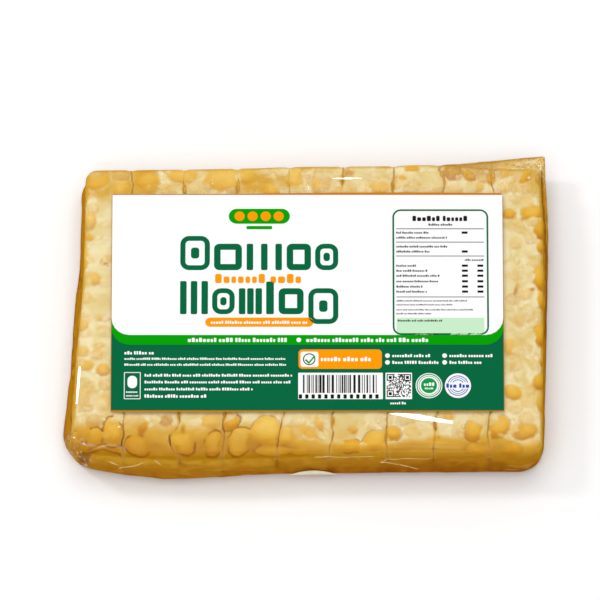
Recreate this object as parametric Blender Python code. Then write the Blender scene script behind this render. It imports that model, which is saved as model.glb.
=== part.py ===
"""Vacuum pack of nine tempeh sticks under clear film, with a paper label on top.

Units are metres, +Z is up and the origin is under the middle of the pack, on the
surface it rests on. +X runs across the sticks and +Y runs along them, to the rear.
"""
import math

import bmesh
import bpy

MM = 0.001

# ---------------------------------------------------------------- driving sizes
TOP_HEIGHT = 17.8 * MM          # film over the middle of a stick
STICK_COUNT = 9
COLUMNS_PER_STICK = 8
ROWS = 24

# Where two sticks meet, at the front and at the rear of the top face (X, in millimetres).
JOINTS = {
    "front": [-61.5, -43.0, -27.0, -10.0, 9.0, 27.0, 43.5, 61.0],
    "rear": [-59.0, -41.0, -23.0, -5.5, 12.5, 29.5, 46.0, 63.5],
}

# Upper edge of the block of sticks, pulled tight by the film. Each side is a few
# (place along the side, distance from the middle) points in millimetres.
EDGE_SIDES = {
    "front": [(-79.0, -51.4), (-44.0, -53.6), (0.0, -52.8), (80.0, -52.2)],
    "rear": [(-76.0, 50.2), (-20.0, 51.0), (-3.0, 51.6), (25.0, 51.8), (43.0, 52.2), (60.0, 51.0),
             (80.0, 50.4)],
    "left": [(-53.0, -79.4), (-20.0, -77.8), (10.0, -75.6), (50.0, -75.0)],
    "right": [(-53.0, 79.2), (25.0, 80.2), (50.0, 79.4)],
}
EDGE_CORNERS = {"front_left": 6.0, "front_right": 5.0, "rear_left": 4.0, "rear_right": 3.0}

# Hem, where the upper and the lower film meet: the widest line of the pack.
HEM_SIDES = {
    "front": [(-80.0, -51.0), (-70.0, -53.8), (-59.0, -55.6), (-44.0, -56.8), (-17.0, -55.3),
              (0.0, -54.9), (80.0, -54.2)],
    "rear": [(-77.0, 51.8), (0.0, 52.8), (25.0, 53.6), (43.0, 54.8), (62.0, 55.5), (82.0, 57.0)],
    "left": [(-48.0, -82.7), (-35.0, -81.7), (-17.0, -79.9), (8.0, -78.5), (20.0, -77.2), (52.0, -76.6)],
    "right": [(-54.0, 80.0), (25.0, 82.2), (57.0, 81.2)],
}
HEM_CORNERS = {"front_left": 11.0, "front_right": 9.0, "rear_left": 6.0, "rear_right": 0.8}

HEM_HEIGHT = 4.0 * MM           # height of the hem above the table
EAR_HEIGHT = 11.8 * MM          # the hem rises to this at its loose rear right corner
EAR_REACH = 80.0 * MM           # and starts rising this far from the corner

EDGE_RADIUS = 2.0 * MM          # rounding of the upper edge
VALLEY_DEPTH = 0.6 * MM         # dip of the film between two sticks
VALLEY_WIDTH = 0.32             # part of a half stick that slopes into the dip
END_NOTCH = 0.4 * MM            # how far the film is drawn in between stick ends
HEIGHT_SPREAD = 0.25 * MM       # sticks are not all cut to one thickness
BASE_INSET = 0.8 * MM           # the flat underside starts this far inside the upper edge
TOUCH_GAP = 0.3 * MM

LABEL_WIDTH = 131.8 * MM
LABEL_DEPTH = 77.1 * MM
LABEL_THICKNESS = 0.3 * MM
LABEL_CORNER = 0.8 * MM
LABEL_CENTRE = (0.3 * MM, 1.6 * MM)

ARC_START = 1.0 - math.sqrt(0.5)    # share of a corner radius lost at its middle


# ---------------------------------------------------------------- small helpers
def blend(low, high, share):
    return low + (high - low) * share


def smooth(share):
    """S-curve from 0 to 1."""
    share = min(max(share, 0.0), 1.0)
    return share * share * (3.0 - 2.0 * share)


def along(points, place):
    """Height of a gently curved line through (place, height) points."""
    if place <= points[0][0]:
        return points[0][1]
    if place >= points[-1][0]:
        return points[-1][1]
    after = next(index for index, point in enumerate(points) if place < point[0])
    near, far = points[after - 1], points[after]
    run = far[0] - near[0]
    leave = slope(points, after - 1) * run
    arrive = slope(points, after) * run
    t = (place - near[0]) / run
    bow = t * (1.0 - t) * ((1.0 - t) * (leave - far[1] + near[1]) - t * (arrive - far[1] + near[1]))
    return blend(near[1], far[1], t) + bow


def slope(points, index):
    """Slope of the line at one of its points, from the points on either side."""
    near = points[max(index - 1, 0)]
    far = points[min(index + 1, len(points) - 1)]
    return (far[1] - near[1]) / (far[0] - near[0])


def corner_loss(distance, radius):
    """How far a round corner keeps the outline in, at a distance from the corner."""
    if distance >= radius:
        return 0.0
    return radius - math.sqrt(radius * radius - (radius - distance) ** 2)


def shares(joints, start, end):
    """Column positions from 0 to 1, evenly spaced within each stick."""
    stops = [start] + list(joints) + [end]
    places = []
    for near, far in zip(stops, stops[1:]):
        for step in range(COLUMNS_PER_STICK):
            places.append(blend(near, far, step / COLUMNS_PER_STICK))
    places.append(end)
    return [(place - start) / (end - start) for place in places]


def row_shares():
    """Row positions from 0 to 1, closer together towards the two ends."""
    even = [row / ROWS for row in range(ROWS + 1)]
    return [blend(place, 0.5 - 0.5 * math.cos(math.pi * place), 0.6) for place in even]


def outline(lines, corners):
    """The four sides of a plan outline, as lists of (x, y) millimetres in grid order."""

    def trimmed(line, place, begin, end):
        """Distance of a side from the middle, less what its two round corners take."""
        loss = corner_loss(place - begin[0], begin[1]) + corner_loss(end[0] - place, end[1])
        level = along(lines[line], place)
        return level - math.copysign(loss, level)

    sides = {}
    for name, index in (("front", 0), ("rear", -1)):
        begin = lines["left"][index][1], corners[name + "_left"]
        end = lines["right"][index][1], corners[name + "_right"]
        start, stop = begin[0] + begin[1] * ARC_START, end[0] - end[1] * ARC_START
        places = [blend(start, stop, share) for share in shares(JOINTS[name], start, stop)]
        sides[name] = [(x, trimmed(name, x, begin, end)) for x in places]
    for name, index in (("left", 0), ("right", -1)):
        begin = lines["front"][index][1], corners["front_" + name]
        end = lines["rear"][index][1], corners["rear_" + name]
        start, stop = begin[0] + begin[1] * ARC_START, end[0] - end[1] * ARC_START
        places = [blend(start, stop, share) for share in row_shares()]
        sides[name] = [(trimmed(name, y, begin, end), y) for y in places]
        sides[name][0], sides[name][-1] = sides["front"][index], sides["rear"][index]
    return sides


def loop_of(sides):
    """One closed counter-clockwise loop, in metres, from the four sides."""
    loop = sides["front"][:-1] + sides["right"][:-1] + sides["rear"][:0:-1] + sides["left"][:0:-1]
    return [(x * MM, y * MM) for x, y in loop]


def valley(column):
    """0 over the middle of a stick, 1 where two sticks meet."""
    if column % (STICK_COUNT * COLUMNS_PER_STICK) == 0:
        return 0.0
    half = COLUMNS_PER_STICK / 2
    from_middle = abs(column % COLUMNS_PER_STICK - half) / half
    return smooth((from_middle - 1.0 + VALLEY_WIDTH) / VALLEY_WIDTH)


def top_height(column):
    """Height of the film over a column of the grid."""
    stick = column / COLUMNS_PER_STICK
    uneven = HEIGHT_SPREAD * (math.sin(2.3 * stick + 0.7) - 1.0) * 0.5
    return TOP_HEIGHT + uneven - VALLEY_DEPTH * valley(column)


def loop_columns():
    """The grid column of every point of the loop."""
    last = STICK_COUNT * COLUMNS_PER_STICK
    return list(range(last)) + [last] * ROWS + list(range(last, 0, -1)) + [0] * ROWS


def moved_in(loop, insets):
    """The loop with every point moved in along its own normal."""
    moved = []
    count = len(loop)
    for index, (x, y) in enumerate(loop):
        before, after = loop[index - 1], loop[(index + 1) % count]
        step_x, step_y = after[0] - before[0], after[1] - before[1]
        length = math.hypot(step_x, step_y)
        moved.append((x - step_y / length * insets[index], y + step_x / length * insets[index]))
    return moved


def between(outer, inner, share):
    return [(blend(a[0], b[0], share), blend(a[1], b[1], share)) for a, b in zip(outer, inner)]


# ---------------------------------------------------------------- the pack
def sections():
    """Sections of the flank from the upper edge down to the table, as 3D loops."""
    columns = loop_columns()
    valleys = [valley(column) for column in columns]
    crest = [top_height(column) for column in columns]
    edge = moved_in(loop_of(outline(EDGE_SIDES, EDGE_CORNERS)), [END_NOTCH * dip for dip in valleys])
    hem = loop_of(outline(HEM_SIDES, HEM_CORNERS))
    base = moved_in(edge, [BASE_INSET] * len(edge))
    ear = HEM_SIDES["right"][-1][1] * MM, HEM_SIDES["rear"][-1][1] * MM
    hem_height = []
    for x, y in hem:
        nearness = 1.0 - math.hypot(x - ear[0], y - ear[1]) / EAR_REACH
        hem_height.append(blend(HEM_HEIGHT, EAR_HEIGHT, smooth(nearness)))

    found = []
    for turn in (90.0, 60.0, 30.0, 0.0):
        inset = EDGE_RADIUS * (1.0 - math.cos(math.radians(turn)))
        drop = EDGE_RADIUS * (1.0 - math.sin(math.radians(turn)))
        ring = moved_in(edge, [inset] * len(edge))
        found.append([(x, y, top - drop) for (x, y), top in zip(ring, crest)])
    for out, down in ((0.22, 0.35), (0.55, 0.72), (1.0, 1.0)):
        ring = between(edge, hem, out)
        found.append([
            (x, y, blend(top - EDGE_RADIUS, low, down))
            for (x, y), top, low in zip(ring, crest, hem_height)
        ])
    for inward, down in ((0.35, 0.62), (0.8, 0.93), (1.0, 1.0)):
        ring = between(hem, base, inward)
        found.append([(x, y, low * (1.0 - down)) for (x, y), low in zip(ring, hem_height)])
    return found


def top_grid(rim):
    """Points of the top face, spread between the four sides of its rim."""
    last = STICK_COUNT * COLUMNS_PER_STICK
    front = rim[:last + 1]
    right = rim[last:last + ROWS + 1]
    rear = rim[last + ROWS:2 * last + ROWS + 1][::-1]
    left = (rim[2 * last + ROWS:] + rim[:1])[::-1]
    grid = []
    for row, v in enumerate(row_shares()):
        points = []
        for column in range(last + 1):
            u_front = (front[column][0] - front[0][0]) / (front[-1][0] - front[0][0])
            u_rear = (rear[column][0] - rear[0][0]) / (rear[-1][0] - rear[0][0])
            u = blend(u_front, u_rear, v)
            place = []
            for axis in (0, 1):
                lengthwise = blend(front[column][axis], rear[column][axis], v)
                crosswise = blend(left[row][axis], right[row][axis], u)
                near = blend(front[0][axis], front[-1][axis], u)
                far = blend(rear[0][axis], rear[-1][axis], u)
                place.append(lengthwise + crosswise - blend(near, far, v))
            points.append((place[0], place[1], top_height(column)))
        grid.append(points)
    return grid


def skin(bm, near, far):
    """Quads between two rows of the same number of vertices."""
    for index in range(len(near) - 1):
        bm.faces.new((near[index], near[index + 1], far[index + 1], far[index]))


def make_pouch():
    """The sealed pack: a scalloped top lofted out to the hem and in to the base."""
    loops = sections()
    bm = bmesh.new()
    rows = [[bm.verts.new(point) for point in points] for points in top_grid(loops[0])]
    for near, far in zip(rows, rows[1:]):
        skin(bm, near, far)
    rim = rows[0][:-1] + [row[-1] for row in rows[:-1]] + rows[-1][:0:-1] + [row[0] for row in rows[:0:-1]]
    for loop in loops[1:]:
        ring = [bm.verts.new(point) for point in loop]
        skin(bm, rim + rim[:1], ring + ring[:1])
        rim = ring
    bm.faces.new(rim)
    bmesh.ops.recalc_face_normals(bm, faces=bm.faces)
    return finished(bm, "pouch")


def make_label():
    """The paper label, a thin plate just clear of the film."""
    bm = bmesh.new()
    bmesh.ops.create_cube(bm, size=1.0)
    bmesh.ops.scale(bm, vec=(LABEL_WIDTH, LABEL_DEPTH, LABEL_THICKNESS), verts=bm.verts)
    uprights = [edge for edge in bm.edges if edge.verts[0].co.xy == edge.verts[1].co.xy]
    bmesh.ops.bevel(bm, geom=uprights, offset=LABEL_CORNER, segments=4, affect="EDGES", profile=0.5)
    label = finished(bm, "label")
    label.location = (*LABEL_CENTRE, TOP_HEIGHT + TOUCH_GAP + LABEL_THICKNESS / 2)
    return label


def finished(bm, name):
    """A named, smooth shaded object in the pack's collection."""
    mesh = bpy.data.meshes.new(name)
    bm.to_mesh(mesh)
    bm.free()
    mesh.shade_smooth()
    mesh.set_sharp_from_angle(angle=math.radians(40.0))
    piece = bpy.data.objects.new(name, mesh)
    bpy.data.collections["tempeh_pack"].objects.link(piece)
    return piece


def give_material(piece, name, colour, roughness):
    material = bpy.data.materials.new(name)
    material.use_nodes = True
    shader = material.node_tree.nodes["Principled BSDF"]
    shader.inputs["Base Color"].default_value = (*colour, 1.0)
    shader.inputs["Roughness"].default_value = roughness
    shader.inputs["Metallic"].default_value = 0.0
    piece.data.materials.append(material)


def clear_scene():
    for old in list(bpy.data.objects):
        bpy.data.objects.remove(old, do_unlink=True)
    collection = bpy.data.collections.new("tempeh_pack")
    bpy.context.scene.collection.children.link(collection)


clear_scene()
give_material(make_pouch(), "film_over_tempeh", (0.75, 0.60, 0.27), 0.15)
give_material(make_label(), "label_paper", (0.90, 0.91, 0.90), 0.45)
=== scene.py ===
# %% [markdown]
# # A vacuum pack of tempeh
# Tempeh is a cake of cooked soybeans bound by white mould threads. Here it is cut
# into nine sticks, soaked in a yellow marinade and sealed in clear film, with a
# paper label on top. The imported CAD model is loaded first, because it fixes the
# size and place of everything. Starting from loose measures instead would let the
# looks drift away from the part that rests and collides.

# %% Load the frame
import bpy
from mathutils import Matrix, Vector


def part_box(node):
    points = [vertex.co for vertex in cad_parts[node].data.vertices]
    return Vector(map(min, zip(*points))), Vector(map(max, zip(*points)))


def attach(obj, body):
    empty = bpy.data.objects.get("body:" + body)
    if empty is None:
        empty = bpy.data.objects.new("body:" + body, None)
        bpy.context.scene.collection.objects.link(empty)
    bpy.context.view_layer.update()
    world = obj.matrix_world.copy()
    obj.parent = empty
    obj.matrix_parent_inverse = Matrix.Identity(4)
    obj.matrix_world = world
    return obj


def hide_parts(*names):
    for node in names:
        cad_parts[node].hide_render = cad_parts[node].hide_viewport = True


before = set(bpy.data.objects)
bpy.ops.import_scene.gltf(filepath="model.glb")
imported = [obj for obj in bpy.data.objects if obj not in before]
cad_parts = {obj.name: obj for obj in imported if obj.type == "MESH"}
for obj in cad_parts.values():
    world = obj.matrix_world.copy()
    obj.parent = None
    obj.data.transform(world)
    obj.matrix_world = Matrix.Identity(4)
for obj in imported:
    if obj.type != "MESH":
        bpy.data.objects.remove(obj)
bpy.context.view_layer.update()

# %% Tools that every step uses
import math

import bmesh
import bpy
import numpy as np
from mathutils import Vector

MM = 0.001                      # the tables below are in millimetres, the frame in metres
label_low, label_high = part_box("label")
print("nodes:", sorted(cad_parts))

# %% [markdown]
# ## The camera and the light
# The pack is seen from the front and from high above, through a long lens that
# keeps the label's sides parallel. A short lens from nearby would splay them.
# The light is that of a small packshot studio: a wide soft box overhead does most
# of the work. Clear film shows only by what it mirrors, so a pale panel hangs where
# the flat film sends the camera's gaze, and a narrow strip on the left lights the
# film that turns down on that side.

# %% Camera
CAMERA_ELEVATION = math.radians(70.0)
CAMERA_DISTANCE = 3.0
FRAME_WIDTH = 203.4 * MM        # what the view takes in across the pack
LOOK_AT = Vector((-2.2, 9.0, 0.0)) * MM


def aimed(kind, name, place, target):
    """A new camera or light object that looks from its place to a target."""
    thing = bpy.data.objects.new(name, kind)
    thing.location = place
    thing.rotation_euler = (target - place).to_track_quat("-Z", "Y").to_euler()
    bpy.context.scene.collection.objects.link(thing)
    return thing


lens = bpy.data.cameras.new("packshot")
lens.lens = lens.sensor_width * CAMERA_DISTANCE / FRAME_WIDTH
lens.clip_end = 6.0 * CAMERA_DISTANCE
towards_camera = Vector((0.0, -math.cos(CAMERA_ELEVATION), math.sin(CAMERA_ELEVATION)))
camera = aimed(lens, "packshot", LOOK_AT + CAMERA_DISTANCE * towards_camera, LOOK_AT)
bpy.context.scene.camera = camera
print("lens", round(lens.lens), "mm")

# %% Lights
ROOM_LIGHT = 0.61               # strength of the even white light from all round
LIGHTS = {  # name: (direction, distance, width, depth, watts)
    "overhead": ((-0.05, -0.38, 0.92), 1.2, 1.0, 0.8, 3.2),
    "left_strip": ((-0.62, 0.34, 0.70), 1.0, 0.12, 0.16, 1.6),
    "rear_panel": ((0.0, 0.342, 0.94), 1.1, 0.8, 0.6, 3.0),
}
for name, (direction, distance, width, depth, watts) in LIGHTS.items():
    box = bpy.data.lights.new(name, "AREA")
    box.shape = "RECTANGLE"
    box.size, box.size_y, box.energy = width, depth, watts
    aimed(box, name, distance * Vector(direction).normalized(), Vector())

world = bpy.data.worlds.new("studio")
world.use_nodes = True
background = world.node_tree.nodes["Background"]
background.inputs["Color"].default_value = (1.0, 1.0, 1.0, 1.0)
background.inputs["Strength"].default_value = ROOM_LIGHT
bpy.context.scene.world = world
bpy.context.scene.view_settings.view_transform = "Standard"
print("lights:", sorted(LIGHTS))

# %% [markdown]
# ## Shader maths as plain expressions
# A finish is a sum, a product or a blend of a few patterns. Placing Math nodes by
# hand hides that, so a small class wraps a socket and lets Python's operators add
# the nodes. Colours are blended by one method of their own, because a Math node
# turns a colour grey. Every other node comes from `Finish.node`.

# %% A wrapped socket
def operator(operation, reflected=False):
    """A Python operator that adds one Math node."""
    def apply(wire, other):
        first, second = (other, wire) if reflected else (wire, other)
        return wire.finish.maths(operation, first, second)
    return apply


class Wire:
    """The output socket of a shader node, ready for arithmetic."""

    __add__ = __radd__ = operator("ADD")
    __mul__ = __rmul__ = operator("MULTIPLY")
    __sub__ = operator("SUBTRACT")
    __rsub__ = operator("SUBTRACT", reflected=True)
    __truediv__ = operator("DIVIDE")

    def __init__(self, finish, socket):
        self.finish, self.socket = finish, socket

    def clamped(self):
        return self.finish.maths("ADD", self, 0.0, clamp=True)

    def away(self):
        """Distance from zero."""
        return self.finish.maths("ABSOLUTE", self, 0.0)


print("a wire can be added, subtracted, multiplied and divided")

# %% A finish, made by calls
def set_stops(ramp, stops):
    """Gives a colour ramp its (place, colour) stops."""
    for index, (place, colour) in enumerate(stops):
        stop = ramp.elements[index] if index < 2 else ramp.elements.new(place)
        stop.position, stop.color = place, colour


class Finish:
    """A material whose nodes are made by calls."""

    def __init__(self, name):
        self.material = bpy.data.materials.new(name)
        self.material.use_nodes = True
        self.tree = self.material.node_tree
        self.tree.nodes.clear()

    def node(self, kind, settings, values, out=0):
        """Adds a node: its settings first, then its sockets, by order or by name."""
        made = self.tree.nodes.new(kind)
        for setting, value in settings.items():
            if setting == "stops":
                set_stops(made.color_ramp, value)
            else:
                setattr(made, setting, value)
        for key, value in values.items() if isinstance(values, dict) else enumerate(values):
            if isinstance(value, Wire):
                self.tree.links.new(value.socket, made.inputs[key])
            else:
                made.inputs[key].default_value = value
        return Wire(self, made.outputs[out]) if made.outputs else made

    def maths(self, operation, first, second, clamp=False):
        settings = {"operation": operation, "use_clamp": clamp}
        return self.node("ShaderNodeMath", settings, [first, second])

    def vector(self, operation, *values, out=0):
        return self.node("ShaderNodeVectorMath", {"operation": operation}, values, out)

    def place(self):
        return self.node("ShaderNodeTexCoord", {}, {}, out="Object")

    def painted(self, attribute):
        """A number stored at the mesh's points."""
        return self.node("ShaderNodeAttribute", {"attribute_name": attribute}, {}, out="Fac")

    def mottle(self, size, detail=2.0, roughness=0.5, warp=0.0, squeeze=(1.0, 1.0, 1.0)):
        """Cloudy noise from 0 to 1 whose clouds are about `size` metres across."""
        where = self.vector("MULTIPLY", self.place(), squeeze)
        return self.node("ShaderNodeTexNoise", {}, {
            "Vector": where, "Scale": 1.0 / size, "Detail": detail, "Roughness": roughness,
            "Distortion": warp}, out="Fac")

    def cracks(self, size):
        """Distance to the nearest crack of a net whose cells are about `size` metres across."""
        return self.node("ShaderNodeTexVoronoi", {"feature": "DISTANCE_TO_EDGE"},
                         {"Vector": self.place(), "Scale": 1.0 / size}, out="Distance")

    def stretch(self, value, low, high):
        """Rescales so that low gives 0 and high gives 1, held at both ends."""
        return self.node("ShaderNodeMapRange", {"interpolation_type": "SMOOTHSTEP"}, [value, low, high])

    def tint(self, share, first, second):
        """Blends two colours, each a colour or a wire."""
        return self.node("ShaderNodeMix", {"data_type": "RGBA"}, {0: share, 6: first, 7: second}, out=2)

    def stroke(self, where, start, end, near, far, soft):
        """1 on a straight stroke whose half width runs from near to far, all in metres."""
        run = end - start
        unit = tuple(run.normalized())
        away = self.vector("SUBTRACT", where, tuple(start))
        share = self.vector("DOT_PRODUCT", away, unit, out="Value") / run.length
        aside = self.vector("LENGTH", self.vector("CROSS_PRODUCT", away, unit), out="Value")
        ends = self.stretch(share, -0.03, 0.03) * (1.0 - self.stretch(share, 0.97, 1.03))
        return ends * self.stretch(share * (far - near) + near - aside, -soft, soft)

    def bumps(self, height, distance, strength):
        values = {"Height": height, "Distance": distance, "Strength": strength}
        return self.node("ShaderNodeBump", {}, values)

    def principled(self, colour, roughness, **others):
        """A Principled BSDF. A space in a socket's name is written as _."""
        values = {name.replace("_", " "): value for name, value in others.items()}
        values.update({"Base Color": colour, "Roughness": roughness})
        return self.node("ShaderNodeBsdfPrincipled", {}, values)

    def finished(self, surface):
        self.node("ShaderNodeOutputMaterial", {}, [surface])
        return self.material


def srgb(red, green, blue):
    """A linear colour from the 0 to 255 numbers that a paint chart gives."""
    shares = [value / 255.0 for value in (red, green, blue)]
    return tuple(s / 12.92 if s <= 0.04045 else ((s + 0.055) / 1.055) ** 2.4 for s in shares) + (1.0,)


PAINT = {name: srgb(*chart) for name, chart in {
    "mould": (237, 225, 180), "mould_warm": (223, 201, 133), "mould_stain": (222, 178, 84),
    "mould_soaked": (210, 162, 50), "mould_brown": (180, 125, 0),
    "bean_pale": (238, 198, 92), "bean_gold": (224, 168, 36), "bean_brown": (184, 110, 6),
    "bean_soaked": (188, 132, 10), "bean_crease_shade": (146, 78, 4),
    "joint_halo": (214, 166, 70), "joint": (168, 104, 24), "pore_and_shade": (170, 120, 50),
    "brown_line": (130, 70, 4), "smear_deep": (184, 128, 38), "smear_thin": (228, 186, 88),
    "liquid_thin": (208, 156, 40), "liquid": (178, 119, 14), "liquid_deep": (146, 79, 0),
    "liquid_streak": (218, 172, 66), "liquid_joint": (140, 76, 6),
    "lip_dull": (200, 157, 74), "lip_pale": (228, 199, 132),
    "sparkle_highlight": (250, 236, 192), "crease_highlight": (249, 230, 170),
    "tab_highlight_pale": (250, 244, 226), "tab_highlight_warm": (232, 210, 160),
    "dark_green": (0, 100, 61), "bright_green": (0, 155, 0), "orange": (255, 152, 0),
    "black": (24, 26, 24), "brown_orange": (203, 122, 16), "pale_green": (196, 232, 196),
    "blue": (30, 80, 170), "seal_green": (10, 150, 70),
}.items()}
print("paint chart:", len(PAINT), "colours")

# %% [markdown]
# ## The plan of the pack
# Film and sticks share one plan: the upper edge of the block, where the film turns
# down, and the hem, where the upper and the lower film meet. Both are given here
# as they are in the CAD model, a few points to a side, in millimetres. A smooth
# line through them could also be a Bezier curve object, but as a plain function it
# can be read at any place, for the film, the sticks and the beans alike.

# %% Upper edge, hem and the joints between sticks
JOINTS = {
    "front": [-61.5, -43, -27, -10, 9, 27, 43.5, 61],
    "rear": [-59, -41, -23, -5.5, 12.5, 29.5, 46, 63.5],
}
EDGE_SIDES = {
    "front": [(-79, -51.4), (-44, -53.6), (0, -52.8), (80, -52.2)],
    "rear": [(-76, 50.2), (-20, 51), (-3, 51.6), (25, 51.8), (43, 52.2), (60, 51),
             (80, 50.4)],
    "left": [(-53, -79.4), (-20, -77.8), (10, -75.6), (50, -75)],
    "right": [(-53, 79.2), (25, 80.2), (50, 79.4)],
}
EDGE_CORNERS = {"front_left": 6, "front_right": 5, "rear_left": 4, "rear_right": 3}
HEM_SIDES = {
    "front": [(-80, -51), (-70, -53.8), (-59, -55.6), (-44, -56.8), (-17, -55.3),
              (0, -54.9), (80, -54.2)],
    "rear": [(-77, 51.8), (0, 52.8), (25, 53.6), (43, 54.8), (62, 55.5), (82, 57)],
    "left": [(-48, -82.7), (-35, -81.7), (-17, -79.9), (8, -78.5), (20, -77.2), (52, -76.6)],
    "right": [(-54, 80), (25, 82.2), (57, 81.2)],
}
HEM_CORNERS = {"front_left": 11, "front_right": 9, "rear_left": 6, "rear_right": 0.8}
# The joints wander round beans: (y, step to the right) in millimetres, by joint.
JOINT_BENDS = {
    0: [(-53, 0.2), (-46, -0.3), (-38, 0), (42, 0.2), (50, -0.4)],
    1: [(-53.3, 0.5), (-50, -2.1), (-45, -3.4), (-43.6, -1.2), (-40.2, 0.3), (-37.6, -0.3), (0, 0)],
    2: [(-52, -0.9), (-48.2, -1.1), (-44.1, -0.9), (-41.9, -1.5), (-38, -0.5), (-20, 0)],
    3: [(-52.6, 0.1), (-48.2, 0.3), (-41.5, 1), (-38, 1.6), (-10, 0)],
    4: [(-52, -1.2), (-47, -0.6), (-38, -0.6), (0, 0), (44, -0.3), (50, 0.2)],
    5: [(-50, 0), (-46.3, -0.6), (-38, -0.2), (0, 0), (44, -0.2), (47, 0.6), (50, 0.3)],
    6: [(-48, -0.8), (-41, -0.6), (-38, 0), (40, 0.4), (46, 0.4), (50, -0.6)],
    7: [(-52, 0.3), (-45, -0.5), (-38, 0), (40, 0.2), (48, -0.5)],
}
STICKS = len(JOINTS["front"]) + 1
FRONT_END, REAR_END = -53.0, 50.5
ARC_START = 1.0 - math.sqrt(0.5)    # where a side gives way to the corner's arc
print("sticks:", STICKS)

# %% Curves through the plan's points
def blend(low, high, share):
    return low + (high - low) * share


def smooth(share):
    """S-curve that is 0 up to 0 and 1 from 1."""
    share = np.clip(share, 0.0, 1.0)
    return share * share * (3.0 - 2.0 * share)


def line(points, place):
    """Level of a gently curved line through (place, level) points, at any places."""
    places, levels = np.array(points, float).T
    count = len(points)
    before, after = np.maximum(np.arange(count) - 1, 0), np.minimum(np.arange(count) + 1, count - 1)
    slopes = (levels[after] - levels[before]) / (places[after] - places[before])
    place = np.clip(place, places[0], places[-1])
    near = np.clip(np.searchsorted(places, place, side="right") - 1, 0, count - 2)
    run, rise = places[near + 1] - places[near], levels[near + 1] - levels[near]
    t = (place - places[near]) / run
    bow = t * (1 - t) * ((1 - t) * (slopes[near] * run - rise) - t * (slopes[near + 1] * run - rise))
    return blend(levels[near], levels[near + 1], t) + bow


def corner_loss(distance, radius):
    """How far a round corner keeps the outline in, at a distance from the corner."""
    lean = np.clip(radius - distance, 0.0, radius)
    return radius - np.sqrt(radius * radius - lean * lean)


print("hem at the front, middle:", float(line(HEM_SIDES["front"], 0.0)), "mm")

# %% Closed outlines, read at any fineness
def even_shares(stops, pieces):
    """Shares from 0 to 1, evenly spaced between neighbouring stops."""
    places = [blend(a, b, step / pieces) for a, b in zip(stops, stops[1:]) for step in range(pieces)]
    places = np.array(places + [stops[-1]])
    return (places - places[0]) / (places[-1] - places[0])


def crowded(share, amount):
    """Moves evenly spaced shares closer to both ends."""
    return blend(share, 0.5 - 0.5 * np.cos(np.pi * share), amount)


def row_shares(rows):
    return crowded(np.linspace(0.0, 1.0, rows + 1), 0.35)


def outline(lines, corners, per_stick, rows):
    """One closed counter-clockwise loop of (x, y) in millimetres."""
    sides = {}
    for name, index in (("front", 0), ("rear", -1)):
        near, far = lines["left"][index][1], lines["right"][index][1]
        round_near, round_far = corners[name + "_left"], corners[name + "_right"]
        start, stop = near + round_near * ARC_START, far - round_far * ARC_START
        x = blend(start, stop, even_shares([start] + JOINTS[name] + [stop], per_stick))
        y = line(lines[name], x)
        loss = corner_loss(x - near, round_near) + corner_loss(far - x, round_far)
        sides[name] = np.stack([x, y - np.sign(y) * loss], axis=1)
    for name, index in (("left", 0), ("right", -1)):
        near, far = lines["front"][index][1], lines["rear"][index][1]
        round_near, round_far = corners["front_" + name], corners["rear_" + name]
        start, stop = near + round_near * ARC_START, far - round_far * ARC_START
        y = blend(start, stop, row_shares(rows))
        x = line(lines[name], y)
        loss = corner_loss(y - near, round_near) + corner_loss(far - y, round_far)
        sides[name] = np.stack([x - np.sign(x) * loss, y], axis=1)
        sides[name][0], sides[name][-1] = sides["front"][index], sides["rear"][index]
    turns = [sides["front"][:-1], sides["right"][:-1], sides["rear"][:0:-1], sides["left"][:0:-1]]
    return np.concatenate(turns)


def outward(loop):
    """Unit normals of a counter-clockwise loop, pointing out."""
    step = np.roll(loop, -1, axis=0) - np.roll(loop, 1, axis=0)
    normal = np.stack([step[:, 1], -step[:, 0]], axis=1)
    return normal / np.linalg.norm(normal, axis=1, keepdims=True)


test_loop = outline(HEM_SIDES, HEM_CORNERS, 8, 24)
print("hem loop of", len(test_loop), "points:", test_loop.min(0).round(1), test_loop.max(0).round(1))

# %% Where a point lies on the block of sticks
CAKE_TOP = 17.15                # middle of a stick's top, in millimetres
CAKE_FLOOR = 0.45
# Small dark gaps along the joints, and places near the rear where mould bridges a joint: (x, y) and,
# for a bridge, its half length.
GAPS = [(-42.8, -38.4), (-41.4, -43.6), (-27.6, -38.4), (-9.6, -48), (8.9, -40.2), (26.6, -46),
        (43.1, -42), (-41.3, 42.3), (-23.3, 43), (12.2, 46), (29.4, 44)]
BRIDGES = [(-41, 48.8, 3.2), (-23, 49.6, 3.4), (-5.6, 46.5, 6.5), (12.4, 43, 2.4)]


def lattice_noise(points, size, seed):
    """Smooth noise from 0 to 1 with features of about `size`, at an array of points."""
    grid = np.random.default_rng(seed).random((24, 24, 24))
    cell = np.asarray(points, float) / size + 100.0
    base = np.floor(cell).astype(int)
    part = smooth(cell - base)
    total = np.zeros(len(cell))
    for corner in np.ndindex(2, 2, 2):
        weight = np.prod(np.where(corner, part, 1.0 - part), axis=1)
        total += weight * grid[tuple(((base + corner) % 24).T)]
    return total


def joint_lines(y):
    """X of the ten lines that bound the sticks, at each y."""
    share = (y - FRONT_END) / (REAR_END - FRONT_END)
    lines = [line(EDGE_SIDES["left"], y)]
    for joint, (front, rear) in enumerate(zip(JOINTS["front"], JOINTS["rear"])):
        places, steps = np.array(JOINT_BENDS[joint]).T
        spot = np.stack([y, np.full(len(y), 60.0 * joint), y * 0.0], axis=1)
        wobble = 1.0 * (lattice_noise(spot, 5.0, 5) - 0.5) + 0.5 * (lattice_noise(spot, 1.6, 6) - 0.5)
        lines.append(blend(front, rear, share) + np.interp(y, places, steps) + wobble)
    return np.stack(lines + [line(EDGE_SIDES["right"], y)])


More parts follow.
